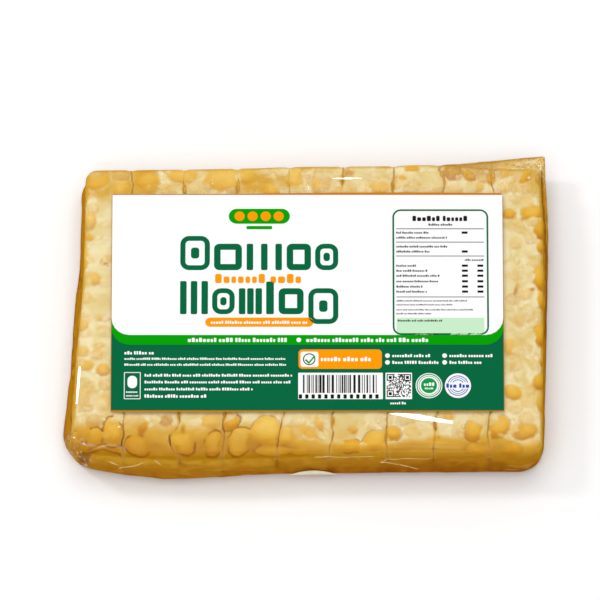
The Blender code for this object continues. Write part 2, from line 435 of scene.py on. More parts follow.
def on_cake(x, y):
    """For each (x, y): the stick, the place across it from -1 to 1, millimetres to the joint."""
    lines = joint_lines(y)
    stick = np.clip((lines[1:-1] < x).sum(axis=0), 0, STICKS - 1)
    left = np.take_along_axis(lines, stick[None], axis=0)[0]
    right = np.take_along_axis(lines, stick[None] + 1, axis=0)[0]
    across = 2.0 * (x - left) / (right - left) - 1.0
    outer = ((stick == 0) & (across < 0)) | ((stick == STICKS - 1) & (across > 0))
    joint = np.where(outer, 8.0, (1.0 - np.abs(across)) * (right - left) / 2.0)
    return stick, across, joint


def gap_depth(x, y):
    """1 in the middle of the small dark gaps that open along the joints, else towards 0."""
    depth = np.zeros(len(x))
    for gap_x, gap_y in GAPS:
        depth = np.maximum(depth, np.exp(-((x - gap_x) / 0.5) ** 2 - ((y - gap_y) / 1.5) ** 2))
    return depth


def bridged(x, y):
    """1 where mould has grown across a joint near the rear and hides it, else towards 0."""
    cover = np.zeros(len(x))
    for bridge_x, bridge_y, half in BRIDGES:
        cover = np.maximum(cover, np.exp(-((x - bridge_x) / 3.0) ** 4 - ((y - bridge_y) / half) ** 4))
    return cover


def cake_top(x, y):
    """Height of the sticks' top faces before any bean bulges, in millimetres."""
    stick, across, joint = on_cake(x, y)
    flat = np.stack([x, y, stick * 40.0], axis=1)
    uneven = 0.22 * (np.sin(2.3 * stick + 1.8) - 1.0) * 0.5
    waves = 0.35 * (lattice_noise(flat, 11.0, 3) - 0.75)
    dip = 0.06 * np.exp(-(joint / 0.7) ** 2) + 0.45 * gap_depth(x, y)
    return CAKE_TOP + uneven + waves - 0.12 * across ** 2 - dip


probe = np.array([[-70.0, -45.0], [0.0, 45.0], [70.0, 0.0]])
print("cake top at three places:", cake_top(*probe.T).round(2), "mm")

# %% [markdown]
# ## Soybeans
# The beans that show on the four strips of cake round the label are placed one by
# one, because their sizes and gaps make the character of the cake. Elsewhere, on
# the stick ends, the sides and the underside, a seeded scatter stands for them.
# Each bean is an ellipsoid sunk to its middle in the surface. The same ellipsoids
# raise the mesh and colour it, so relief and colour always agree. Painted blots on
# flat sticks would be quicker, but light would not run over them.

# %% Beans that show
# Each is (x, y, length, width, turn, veil, crisp, tone), in millimetres and degrees. Veil is how
# much mould covers the bean, crisp how sharp its rim is and tone how brown it is.
FRONT_BEANS = [
    (-77.8, -46.8, 6, 4.5, 90, 0.25, 0.6, 0.5), (-71.1, -46.3, 7.5, 5.2, 80, 0, 0.9, 0.5),
    (-64.6, -44.1, 10.4, 6.3, 105, 0, 0.9, 0.45), (-55, -43, 6, 3, 55, 0.1, 0.3, 0.8),
    (-47.3, -40.2, 5.5, 4.5, 0, 0.45, 0, 1), (-56.6, -49, 9.5, 7, -25, 0, 1, 0.7),
    (-49, -51.5, 7, 5, 0, 0.5, 0, 0.8), (-41.7, -48.2, 9.5, 7, -50, 0, 1, 0.5),
    (-32, -40.1, 8, 5.4, 10, 0.35, 0.2, 0.45), (-31.2, -48.5, 9.3, 6.3, 75, 0, 1, 0.6),
    (-25.1, -41, 7, 4.2, 40, 0, 0.8, 0.5), (-22.4, -47.5, 10.5, 7.6, 70, 0, 0.8, 0.35),
    (-13.6, -43.4, 10.8, 9.4, 40, 0, 0.5, 0.3), (-7, -45.4, 6.5, 5, 80, 0.2, 0.4, 0.3),
    (0.5, -44.3, 12, 3.6, -40, 0.35, 0.2, 0.45), (4.2, -40.7, 6.5, 3.4, 100, 0.3, 0, 0.4),
    (-11.4, -50.8, 12.5, 4, 0, 0.1, 0.5, 0.55), (-2.2, -50.8, 6, 4, 0, 0.1, 0.4, 0.6),
    (15.4, -43.5, 4, 3.4, 0, 0.3, 0.1, 0.6), (14.7, -49.2, 9, 5, 0, 0, 0.7, 0.6),
    (22.9, -47.3, 9, 6.5, 20, 0.05, 0.5, 0.45), (28.8, -44.6, 6, 4.6, -20, 0.05, 0.5, 0.5),
    (42.9, -46.4, 8, 3.2, 90, 0.1, 0.6, 0.5), (47.6, -38.7, 4.5, 3, 0, 0.3, 0, 0.4),
]
RIGHT_BEANS = [
    (79.3, 21.9, 5, 3.5, 90, 0.1, 0.2, 0.5), (79.3, 28.2, 7.5, 5, 90, 0, 0.2, 0.55),
    (79, 10.8, 9.5, 5.4, 95, 0.05, 0.3, 0.5), (79.8, 3, 8, 4, 90, 0.15, 0.2, 0.5),
    (79.3, -9.3, 9.5, 5.6, 88, 0.05, 0.3, 0.52), (80, -19, 4.5, 3.4, 90, 0, 0.2, 0.65),
    (78.8, -26, 7, 5.4, 60, 0.1, 0.3, 0.5), (79.5, -33.4, 9, 5, 90, 0.3, 0.1, 0.5),
    (71.4, -4.6, 5, 3, 110, 0.6, 0, 0.6), (68, -14, 7, 4, 90, 0.3, 0.1, 0.35),
    (69.3, -30.2, 6.5, 5.5, -30, 0.1, 0.3, 0.4), (75, -14, 3, 2, 0, 0.7, 0, 0.7),
    (68.6, 33.7, 5, 4, 0, 0.1, 0.2, 0.55), (76.1, 34.2, 8, 5.5, 10, 0.05, 0.4, 0.45),
    (70.5, 6.2, 6, 1.2, 75, 0.3, 0, 0.9), (76, 6.6, 2.6, 1, 35, 0, 0, 0.9),
]
REAR_BEANS = [
    (-41.9, 47.6, 11, 5.5, 0, 0.25, 0, 0.4), (-28.6, 46.2, 14, 8, 5, 0.22, 0, 0.35),
    (-20.2, 47.4, 8, 5.5, 0, 0.25, 0.1, 0.4), (-11.9, 42.7, 7, 5, 0, 0.2, 0.3, 0.4),
    (-4.1, 46.1, 10, 5.5, 90, 0.3, 0, 0.35), (3.9, 44.5, 8, 4.2, 80, 0.35, 0.1, 0.4),
    (13.4, 48.8, 6, 2.4, 0, 0.3, 0, 0.7), (24.6, 43.4, 9, 4.5, 0, 0.35, 0.1, 0.4),
    (32.7, 47, 6, 2, 0, 0.2, 0.2, 0.4), (35.9, 50.3, 5, 3, 0, 0.1, 0.1, 0.4),
    (42.2, 45.2, 8, 7.5, 0, 0.75, 0.6, 0.4), (49.5, 48.8, 6.5, 6, 0, 0.3, 0, 0.8),
    (55.4, 47.7, 5.5, 4, -30, 0.15, 0.2, 0.55), (57.8, 43.8, 5, 4.5, 0, 0.4, 0, 0.4),
    (62.5, 46.7, 5, 3.2, 80, 0.05, 0.3, 0.5), (66.4, 48.6, 6, 3.4, -10, 0.3, 0.1, 0.4),
    (73.7, 47, 7, 3.6, 75, 0.1, 0.2, 0.45), (79.2, 47.4, 7, 4, 90, 0.4, 0, 0.6),
]
LEFT_BEANS = [
    (-73.4, 31.9, 8, 5, 95, 0.35, 0.1, 0.4), (-73.7, 25.4, 4, 3, -20, 0.2, 0.1, 0.4),
    (-75.6, 17.8, 11, 4, 85, 0.15, 0.1, 0.35), (-71.7, 10.4, 5.4, 4.4, -40, 0.25, 0.2, 0.35),
    (-75.1, 9.8, 6, 3, 80, 0.5, 0, 0.5), (-75.1, -6.2, 5.5, 3.6, 80, 0.35, 0.2, 0.45),
    (-69.5, -3.7, 3, 2.4, 0, 0.5, 0, 0.5), (-69.7, -13.6, 5, 2.6, 0, 0.55, 0, 0.5),
    (-78.1, -14.9, 6, 3, 90, 0.15, 0.1, 0.5), (-75.4, -15.6, 5, 4, 0, 0.45, 0, 0.45),
    (-74.4, -20.5, 6, 4, 0, 0.3, 0.1, 0.4), (-68.3, -22, 5, 4.6, 0, 0.3, 0.1, 0.5),
    (-74.7, -32, 9, 4, 95, 0.6, 0, 0.5), (-67.4, -33, 7, 3.4, 90, 0.55, 0, 0.45),
    (-68.1, 16.1, 2.6, 0.9, -40, 0, 0, 0.8),
]
HIDDEN_BEANS = [
    (64.5, -42.5, 9, 6.5, 60, 0.1, 0.5, 0.5), (73.5, -44, 8.5, 6, 20, 0.2, 0.3, 0.6),
    (56, -43.5, 8, 6, 80, 0.05, 0.6, 0.45), (68.5, -50.2, 8, 4.5, 5, 0.1, 0.4, 0.6),
    (57.5, -50.4, 9, 4.5, -5, 0.1, 0.4, 0.6), (-70.5, 45.5, 8.5, 5.5, 20, 0.25, 0.2, 0.4),
    (-63, 42.5, 7, 5.5, 70, 0.35, 0.2, 0.4), (-54, 46.2, 9, 6, 0, 0.2, 0.2, 0.4),
]
placed = FRONT_BEANS + RIGHT_BEANS + REAR_BEANS + LEFT_BEANS + HIDDEN_BEANS
print("beans placed by hand:", len(placed))

# %% The rest of the beans
random = np.random.default_rng(7)


def scattered(columns, rows, centre, half_size):
    """Jittered rows of beans: centre(a, b) gives the middle for shares a, b in 0..1."""
    rows_made = []
    for column, row in np.ndindex(columns, rows):
        a = (column + 0.5 + random.uniform(-0.3, 0.3)) / columns
        b = (row + 0.5 + random.uniform(-0.25, 0.25)) / rows
        if random.random() < 0.15:
            continue
        size = np.array(half_size) * random.uniform(0.75, 1.15, 3)
        look = random.choice([0.0, 0.1, 0.3, 0.6]), random.uniform(0.2, 0.8), random.uniform(0.35, 0.9)
        rows_made.append((*centre(a, b), *size, random.uniform(-35.0, 35.0), *look))
    return rows_made


def on_side(name, a, b):
    """Middle of a bean on one of the four outer faces."""
    place = blend(-76.0, 76.0, a) if name in ("front", "rear") else blend(-49.0, 47.0, a)
    level = float(line(EDGE_SIDES[name], place))
    level -= math.copysign(0.5, level)
    height = blend(2.0, 14.5, b)
    return (place, level, height) if name in ("front", "rear") else (level, place, height)


def faint(rows):
    """Beans deep under the mould: only a warm shadow of each shows."""
    return [(*row[:7], random.uniform(0.6, 0.85), 0.0, row[9]) for row in rows]


# Strips of the top with faint beans: columns, rows, x range, y range, half size of a bean.
FAINT_STRIPS = [
    (20, 3, (-77, 77), (-51, -38), (3.6, 2.6, 1.4)),
    (20, 2, (-73, 77), (41, 50), (3.6, 2.6, 1.4)),
    (2, 12, (-76, -66), (-38, 40), (3.2, 2.4, 1.4)),
    (2, 12, (67, 78), (-38, 40), (3.2, 2.4, 1.4)),
]
beans = []
for x, y, length, width, turn, veil, crisp, tone in placed:
    deep = max(0.42 * width, 1.2)
    beans.append((x, y, CAKE_TOP - 0.1, length / 2, width / 2, deep, turn, veil, crisp, tone))
for side in ("front", "rear"):
    beans += scattered(19, 2, lambda a, b: on_side(side, a, b), (4.0, 1.6, 2.6))
for side in ("left", "right"):
    beans += scattered(12, 2, lambda a, b: on_side(side, a, b), (1.6, 4.0, 2.6))
for columns, rows, x_range, y_range, half_size in FAINT_STRIPS:
    beans += faint(scattered(columns, rows, lambda a, b: (
        blend(*x_range, a), blend(*y_range, b), CAKE_TOP), half_size))
beans += scattered(18, 11, lambda a, b: (blend(-78, 78, a), blend(-52, 50, b), CAKE_FLOOR),
                   (4.2, 3.1, 1.8))
print("beans in all:", len(beans))

# %% The field that the beans make
def bean_field(points):
    """Millimetres inside the nearest bean's skin, and that bean's veil, crisp and tone, the tone with
    painted shade on the bean's front half.
    """
    inside = np.full(len(points), -2.0)
    looks = np.zeros((len(points), 3))
    ragged = 0.22 * (lattice_noise(points, 2.6, 11) - 0.5)
    for x, y, z, half_length, half_width, half_height, turn, *look in beans:
        reach = 1.5 * max(half_length, half_width, half_height)
        near = np.flatnonzero(np.abs(points - (x, y, z)).max(axis=1) < reach)
        away = points[near] - (x, y, z)
        cosine, sine = math.cos(math.radians(turn)), math.sin(math.radians(turn))
        lengthwise = (away[:, 0] * cosine + away[:, 1] * sine) / half_length
        crosswise = (away[:, 1] * cosine - away[:, 0] * sine) / half_width
        radius = np.sqrt(lengthwise ** 2 + crosswise ** 2 + (away[:, 2] / half_height) ** 2)
        depth = (1.0 - radius + ragged[near]) * min(half_length, half_width)
        better = depth - 0.5 * (look[0] > 0.55) > inside[near]
        inside[near[better]] = depth[better]
        looks[near[better]] = look
        # Painted shade: each bean browns towards its front half, as if lit from the rear.
        looks[near[better], 2] -= 0.38 * np.clip(away[better, 1] / half_length, -1.0, 1.0)
    return inside, looks


def bulge(inside, looks):
    """How far a bean pushes the surface out, with a crease round a crisp one."""
    veil, crisp = looks[:, 0], looks[:, 1]
    dome = (0.12 + 0.26 * crisp) * (1.0 - 0.6 * veil) * smooth(inside / 1.3)
    crease = 0.14 * (0.3 + crisp) * (1.0 - veil) * np.exp(-((inside + 0.1) / 0.35) ** 2)
    return dome - crease


top_probe = np.column_stack([probe[:, :2], np.full(3, CAKE_TOP)])
print("millimetres inside a bean at three places:", bean_field(top_probe)[0].round(2))

# %% [markdown]
# ## The nine sticks
# Each stick is a long box with softly rounded edges, bent to the plan and raised
# where beans lie under its skin. A fine even lattice over the box carries that
# relief and also the numbers that the colours read. A Displace modifier with a
# texture would raise it too, but the colours could not follow the same beans.

# %% Stick meshes
STICK_SIZE = np.array([17.2, 103.0, 16.6])
STICK_ROUND = np.array([0.12, 1.9, 0.18])
STICK_CELLS = (36, 190, 14)
STICK_GAP = 0.008
RIM_ROUND = 1.9                 # rounding of the block's upper rim, under the film
FILM_GAP = 0.35                 # from the film's edge in to the stick ends


def add_mesh(name, points_mm, faces, material):
    """An object from points in millimetres and a list of faces."""
    mesh = bpy.data.meshes.new(name)
    mesh.from_pydata([tuple(p) for p in (np.asarray(points_mm) * MM).tolist()], [], faces)
    mesh.update()
    mesh.shade_smooth()
    piece = bpy.data.objects.new(name, mesh)
    piece.data.materials.append(material)
    bpy.context.scene.collection.objects.link(piece)
    return piece


def paint(piece, **numbers):
    """Stores numbers at the points, for the finish to read."""
    for name, values in numbers.items():
        store = piece.data.attributes.new(name, "FLOAT", "POINT")
        store.data.foreach_set("value", np.ascontiguousarray(values, dtype=np.float32))


def box_lattice(cells):
    """Points on the surface of a lattice box, as whole numbers, and its quads."""
    points, faces, index = [], [], {}

    def corner(key):
        if key not in index:
            index[key] = len(points)
            points.append(key)
        return index[key]

    for axis in range(3):
        u, v = (axis + 1) % 3, (axis + 2) % 3
        for level in (0, cells[axis]):
            for a, b in np.ndindex(cells[u], cells[v]):
                quad = []
                for da, db in ((0, 0), (1, 0), (1, 1), (0, 1)):
                    key = [0, 0, 0]
                    key[axis], key[u], key[v] = level, a + da, b + db
                    quad.append(corner(tuple(key)))
                faces.append(quad if level else quad[::-1])
    return np.array(points, float), faces


lattice, stick_faces = box_lattice(STICK_CELLS)
shares = lattice / STICK_CELLS
shares = np.stack([crowded(shares[:, axis], amount) for axis, amount in enumerate((0.55, 0.3, 0.4))], 1)
box_points = shares * STICK_SIZE
core = np.clip(box_points, STICK_ROUND, STICK_SIZE - STICK_ROUND)
outward_lean = (box_points - core) / STICK_ROUND
outward_lean /= np.linalg.norm(outward_lean, axis=1, keepdims=True)
rounded_box = (core + outward_lean * STICK_ROUND) / STICK_SIZE
print("points on a stick:", len(lattice), "quads:", len(stick_faces))


def end_line(name, x):
    """Y of the stick ends, with the block's two round corners taken off."""
    near, far = EDGE_SIDES["left"], EDGE_SIDES["right"]
    index = 0 if name == "front" else -1
    round_near, round_far = EDGE_CORNERS[name + "_left"], EDGE_CORNERS[name + "_right"]
    loss = corner_loss(np.maximum(x - near[index][1] - FILM_GAP, 0.0), round_near)
    loss = loss + corner_loss(np.maximum(far[index][1] - FILM_GAP - x, 0.0), round_far)
    level = line(EDGE_SIDES[name], x)
    return level - np.sign(level) * (loss + FILM_GAP)


def stick_points(stick):
    """The rounded lattice box bent to one stick's place in the block."""
    across, along, up = rounded_box.T
    lines = joint_lines(blend(FRONT_END, REAR_END, along))
    left, right = lines[stick], lines[stick + 1]
    left = left + (FILM_GAP if stick == 0 else STICK_GAP)
    right = right - (FILM_GAP if stick == STICKS - 1 else STICK_GAP)
    x = blend(left, right, across)
    front, rear = end_line("front", x), end_line("rear", x)
    y = blend(front, rear, along)
    drop = corner_loss(np.minimum(y - front, rear - y), RIM_ROUND)
    if stick in (0, STICKS - 1):
        drop = np.maximum(drop, corner_loss(x - left if stick == 0 else right - x, RIM_ROUND))
    z = blend(CAKE_FLOOR, cake_top(x, y) - drop, up)
    return np.stack([x, y, z], axis=1)


first_stick = stick_points(0)
print("first stick, bare:", first_stick.min(0).round(1), "to", first_stick.max(0).round(1), "mm")

# %% Where the marinade has soaked in
def soaked(points):
    """How brown the marinade has made the surface, from 0 to 1, with painted shade added low down the
    flanks.
    """
    x, y, z = points.T
    to_front = y - line(EDGE_SIDES["front"], x)
    to_rear = line(EDGE_SIDES["rear"], x) - y
    to_left = x - line(EDGE_SIDES["left"], y)
    to_right = line(EDGE_SIDES["right"], y) - x
    # Marinade and painted shade: the flanks turn browner downwards from the rim.
    low = smooth((16.6 - z) / 3.0)
    to_edge = np.minimum(np.minimum(to_front, to_rear), np.minimum(to_left, to_right))
    flank = smooth((2.6 - to_edge) / 1.6)
    clouds = lattice_noise(points, 9.0, 41)
    rightwards = smooth((x + 10.0) / 20.0)
    reach = blend(9.0, 6.0, rightwards) + 6.0 * (clouds - 0.5)
    front = blend(0.64, 0.60, rightwards) * smooth((reach - to_front) / blend(7.0, 5.0, rightwards))
    front += blend(0.42, 0.18, rightwards) * smooth((16.0 - to_front) / 8.0)
    sides = 0.34 * smooth((1.5 - to_right) / 1.3) + 0.15 * smooth((15.0 - to_right) / 6.0)
    sides += 0.20 * smooth((-14.0 - y) / 18.0) * smooth((17.0 - to_left) / 6.0)
    sides += 0.35 * smooth((1.8 - to_left) / 1.6) + 0.35 * smooth((1.8 - to_rear) / 1.6)
    rear = smooth((14.0 - to_rear) / 6.0)
    warm = np.maximum(front, sides) + 0.25 * smooth((clouds - 0.45) / 0.4) * rear
    warm += blend(0.18, 0.10, smooth((x + 30.0) / 40.0)) * rear
    return np.clip(np.maximum(low * flank * 0.95, warm), 0.0, 1.0)


print("soaked at three places:", soaked(top_probe).round(2))

# %% The cake's skin
def cake_skin(cake):
    """Colour of cream mould over golden beans, browner where soaked, with painted shade in the creases
    round crisp beans and in the mould's low spots, and its three grains.
    """
    inside, veil, crisp = cake.painted("inside"), cake.painted("veil"), cake.painted("crisp")
    tone, seam, soak = cake.painted("tone"), cake.painted("seam"), cake.painted("soak")
    clouds = cake.mottle(8.0 * MM, 3.0, 0.6, 0.8)
    stains = cake.mottle(3.6 * MM, 3.0, 0.65, 1.2)
    fluff = cake.mottle(1.1 * MM, 4.0, 0.65)
    grain = cake.mottle(0.45 * MM, 2.0)
    edge = inside + (fluff - 0.5) * 0.7 + (stains - 0.5) * 1.1
    drift = (fluff - 0.5) * 0.5 + (stains - 0.5) * 1.1 + (clouds - 0.5) * 0.7
    hidden = cake.stretch(veil + drift * (veil * 1.2 + 0.3), 0.0, 1.0)
    bare = cake.stretch(edge, crisp * 0.3 - 0.5, 0.55 - crisp * 0.25) * (1.0 - hidden)
    soft = soak + (clouds - 0.5) * 0.35 + (stains - 0.5) * 0.3
    cream = cake.tint(cake.stretch(clouds, 0.3, 0.72), PAINT["mould"], PAINT["mould_warm"])
    stained = cake.stretch(stains + soak * 0.35, 0.58, 0.85) * 0.7
    cream = cake.tint(stained, cream, PAINT["mould_stain"])
    cream = cake.tint(cake.stretch(soft, 0.05, 0.45), cream, PAINT["mould_soaked"])
    cream = cake.tint(cake.stretch(soft, 0.42, 1.0), cream, PAINT["mould_brown"])
    middle = cake.stretch(inside, 0.3, 2.4)
    brown = tone + (clouds - 0.5) * 0.4 + (stains - 0.5) * 0.3 - middle * 0.22 + 0.08
    stops = [(0.0, PAINT["bean_pale"]), (1.0, PAINT["bean_brown"]), (0.5, PAINT["bean_gold"])]
    bean = cake.node("ShaderNodeValToRGB", {"stops": stops}, [brown])
    bean = cake.tint(cake.stretch(soft, 0.1, 1.0) * 0.6, bean, PAINT["bean_soaked"])
    colour = cake.tint(bare, cream, bean)
    # Painted shade: a dark line in the crease round each crisp bean, deeper where soaked.
    rim = (1.0 - cake.stretch((edge + 0.12).away(), 0.0, 0.42)) * (1.0 - hidden)
    rim = rim * cake.stretch(crisp + (clouds - 0.5) * 0.8, 0.1, 0.9)
    colour = cake.tint(rim * (0.75 + soak * 0.4), colour, PAINT["bean_crease_shade"])
    open_joint = cake.stretch(cake.mottle(4.0 * MM, 2.0), 0.36, 0.62)
    joint = (1.0 - cake.stretch(seam + (fluff - 0.5) * 0.4, 0.05, 0.55)) * open_joint
    halo = (1.0 - cake.stretch(seam + (stains - 0.5) * 1.5, 0.0, 1.6)) * 0.35
    colour = cake.tint(halo, colour, PAINT["joint_halo"])
    colour = cake.tint(joint * 0.65, colour, PAINT["joint"])
    # Small pits, and painted shade in the low spots of the fluff and grain, the same noises that sink
    # the bump.
    shade = cake.stretch(fluff * 0.6 + grain * 0.4, 0.3, 0.7)
    colour = cake.tint(0.09 * (1.0 - shade), colour, PAINT["pore_and_shade"])
    return colour, fluff, grain, stains


def painted_cake(points):
    """The numbers that the cake's skin reads, for any points in millimetres."""
    inside, looks = bean_field(points)
    x, y = points[:, 0], points[:, 1]
    seam = on_cake(x, y)[2] * (1.0 + 0.8 * smooth(y / 30.0)) + 0.8 * bridged(x, y)
    soak = np.clip(soaked(points) + 0.9 * gap_depth(x, y), 0.0, 1.0)
    numbers = {"inside": inside, "veil": looks[:, 0], "crisp": looks[:, 1], "tone": looks[:, 2]}
    return {**numbers, "seam": seam, "soak": soak}, bulge(inside, looks)


print("painted on the cake:", sorted(painted_cake(top_probe)[0]))

# %% Brown lines, and the tempeh's finish
# Lines (x, y) where marinade has gathered along creases of the film, in millimetres.
BROWN_LINES = [
    [(-73.2, -50.6), (-68.4, -48.6), (-65.6, -49.9), (-61.9, -49)],
    [(-78, -50.4), (-73.5, -51.6), (-68.4, -50.4), (-62, -52)],
    [(79.7, 51), (79.9, 40.7), (81, 25.8), (81.2, 11.7), (80.5, -7.7)],
]
BROWN_WIDTH, BROWN_SOFT, BROWN_SHARE = 0.26, 0.25, 0.8


def lined(finish, colour):
    """Adds the brown lines to a colour."""
    sway = (finish.mottle(2.5 * MM, 3.0) - 0.5) * 1.2 * MM
    sway = finish.node("ShaderNodeCombineXYZ", {}, [sway, sway, 0.0])
    where = finish.vector("MULTIPLY", finish.vector("ADD", finish.place(), sway), (1.0, 1.0, 0.0))
    width, soft = BROWN_WIDTH * MM, BROWN_SOFT * MM
    dark = 0.0
    for path in BROWN_LINES:
        corners = [Vector((*place, 0.0)) * MM for place in path]
        for start, end in zip(corners, corners[1:]):
            dark = dark + finish.stroke(where, start, end, width, width, soft)
    return finish.tint(dark.clamped() * BROWN_SHARE, colour, PAINT["brown_line"])


cake = Finish("tempeh")
colour, fluff, grain, stains = cake_skin(cake)
normal = cake.bumps(fluff * 0.4 + grain * 0.2 + stains * 0.5, 0.3 * MM, 0.5)
tempeh = cake.finished(cake.principled(
    lined(cake, colour), 0.42 + fluff * 0.2, Normal=normal, Specular_IOR_Level=0.1))
print("tempeh finish:", len(cake.tree.nodes), "nodes")

# %% The nine sticks, made
for stick in range(STICKS):
    points = stick_points(stick)
    points += outward_lean * painted_cake(points)[1][:, None]
    piece = add_mesh(f"stick_{stick + 1}", points, stick_faces, tempeh)
    paint(piece, **painted_cake(points)[0])
    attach(piece, "root")
print("sticks made, top from", points[:, 2].min().round(2), "to", points[:, 2].max().round(2), "mm")

# %% [markdown]
# ## The film
# The film is drawn tight over the sticks, falls steeply at the flanks and then runs
# out in a thin amber lip to its hem, so it is one skin: a grid over the top, rings
# down to the hem, and rings back in to the flat underside. Cloth draping would
# fold it too, but the folds that matter here sit at known places and are laid in
# as ridges. Clear film is hard to see: most of it is a see-through surface with a
# faint mirror over it, and only its folds catch the lights.

# %% Folds: the places where the film creases
# Points (x, y, width) in millimetres, then slope and glint. A fold is a sharp step at
# its line that falls off evenly towards the rear, so its slope catches the rear light.
FOLDS = [
    ([(26.6, -38, 0.6), (32, -39.4, 0.9), (39.4, -40.9, 1.2), (48.5, -41.9, 0.8)], 0.05, 0),
    ([(30, -48.4, 0.8), (38, -47.6, 0.8), (47, -48.6, 0.8)], 0.10, 0.012),
    ([(28, -50.2, 0.8), (38, -49.7, 0.8), (52, -50.2, 0.8)], 0.10, 0.012),
    ([(26, -51.8, 0.8), (38, -51.4, 0.8), (56, -51.7, 0.8)], 0.10, 0.012),
    ([(46, 46.6, 0.8), (56, 47, 0.8), (66, 47.4, 0.8)], 0.12, 0.015),
    ([(45, 48.6, 0.8), (56, 49, 0.8), (68, 49.2, 0.8)], 0.12, 0.015),
    ([(-72, -50.6, 0.7), (-66, -49.2, 0.7), (-60, -50.4, 0.7)], 0.17, 0.05),
    ([(-79, -46, 0.7), (-76, -48.6, 0.7), (-71, -49.6, 0.7)], 0.20, 0.12),
]
# Bright lines where the film throws the lights straight back: the two ends (x, y), the
# half width at each end, and the strength.
GLINTS = [
    ((26.8, -37.5), (37.2, -39), 0.05, 0.95, 0.9), ((37.2, -39), (48.8, -40.8), 0.95, 0.45, 0.9),
    ((8.8, 46.6), (13.5, 46.6), 0.05, 0.30, 0.8), ((13.5, 46.6), (18.8, 46.6), 0.30, 0.05, 0.8),
    ((-76.2, -21), (-76.6, -27), 0.30, 0.42, 0.9), ((-76.6, -27), (-77.1, -34.2), 0.42, 0.25, 0.9),
    ((-63.2, -42.6), (-62.4, -42.4), 0.3, 0.1, 0.8),
]
GLINT_SOFT, GLINT_HEIGHT = 0.14, 17.2
# Spots (x, y, size) where the film is finely puckered and sparkles.
SPARKLES = [(-31.5, 45.4, 2.2), (-4.5, 42.6, 2), (0.8, 43.6, 1.8), (6.5, 46.8, 1.8), (49, 44.5, 1.6)]
FILM_TOP_LIMIT = 17.8
COLUMNS, ROWS = 32, 170


def fold_shape(x, y):
    """Height of the film's folds at (x, y), and how much light they throw back."""
    height, glint = np.zeros(np.shape(x)), np.zeros(np.shape(x))
    for path, slope, shine in FOLDS:
        places, levels, widths = np.array(path).T
        width = np.interp(x, places, widths)
        behind = y - np.interp(x, places, levels)
        across = np.where(behind > 0.0, behind / width, -behind / 0.35)
        ends = smooth((x - places[0] + 1.0) / 3.0) * smooth((places[-1] + 1.0 - x) / 3.0)
        height += slope * width * np.clip(1.0 - across, 0.0, 1.0) * ends
        lit = smooth((1.1 - across) / 0.35) * smooth((behind + 0.25) / 0.5)
        glint = np.maximum(glint, shine * lit * ends)
    return height, glint


def film_level(x, y):
    """Height of the film over the sticks."""
    joint = on_cake(x, y)[2]
    cake = cake_top(x, y) + 0.06 * np.exp(-(joint / 0.7) ** 2) + 0.45 * gap_depth(x, y)
    points = np.stack([x, y, np.full(len(x), CAKE_TOP)], axis=1)
    lift = bulge(*bean_field(points))
    sag = 0.10 * np.exp(-(joint / 0.8) ** 2)
    level = cake + 0.16 + np.maximum(lift, 0.0) * 0.9 - sag
    return np.minimum(level, FILM_TOP_LIMIT)


print("film over three places:", film_level(*probe.T).round(2), "mm")

# %% Film loops and mesh
EDGE_TURN = 2.0                 # radius of the film over the upper edge
HEM_HEIGHT, EAR_HEIGHT, EAR_REACH = 4.0, 11.8, 80.0
EAR = HEM_SIDES["right"][-1][1], HEM_SIDES["rear"][-1][1]


def moved_in(loop, inset):
    """A loop brought in by an even inset, or by one of its own at each point."""
    return loop - outward(loop) * np.reshape(inset, (-1, 1))


def flank(edge, hem, crest, low, rings, inset=0.0):
    """Loops from the upper edge round and down to the hem, a hollow curve."""
    found = []
    for turn in np.radians(np.linspace(90.0, 0.0, 9)[1:]):
        ring = moved_in(edge, inset + EDGE_TURN * (1.0 - math.cos(turn)))
        drop = EDGE_TURN * (1.0 - math.sin(turn)) + inset * 0.5
        found.append(np.column_stack([ring, crest - drop]))
    for share in np.linspace(0.0, 1.0, rings + 1)[1:]:
        ring = blend(moved_in(edge, inset), moved_in(hem, inset), share ** 1.7)
        found.append(np.column_stack([ring, blend(crest - EDGE_TURN, low, share ** 0.9)]))
    return found


def hem_heights(hem):
    """Height of the hem, which stands up at the ear."""
    nearness = 1.0 - np.hypot(hem[:, 0] - EAR[0], hem[:, 1] - EAR[1]) / EAR_REACH
    return blend(HEM_HEIGHT, EAR_HEIGHT, smooth(nearness))


def top_grid(rim, columns, rows):
    """Plan places over the top, spread between the four sides of the rim."""
    front, right = rim[:columns + 1], rim[columns:columns + rows + 1]
    rear = rim[columns + rows:2 * columns + rows + 1][::-1]
    left = np.concatenate([rim[2 * columns + rows:], rim[:1]])[::-1]
    v = row_shares(rows)[:, None, None]
    u_front = (front[:, 0] - front[0, 0]) / (front[-1, 0] - front[0, 0])
    u_rear = (rear[:, 0] - rear[0, 0]) / (rear[-1, 0] - rear[0, 0])
    u = blend(u_front[None, :, None], u_rear[None, :, None], v)
    lengthwise = blend(front[None], rear[None], v)
    crosswise = blend(left[:, None], right[:, None], u)
    corners = blend(blend(front[0], front[-1], u), blend(rear[0], rear[-1], u), v)
    return lengthwise + crosswise - corners


def ring_faces(first, second):
    """Quads between two closed loops of vertex numbers."""
    return np.stack([first, np.roll(first, -1), np.roll(second, -1), second], axis=1).tolist()


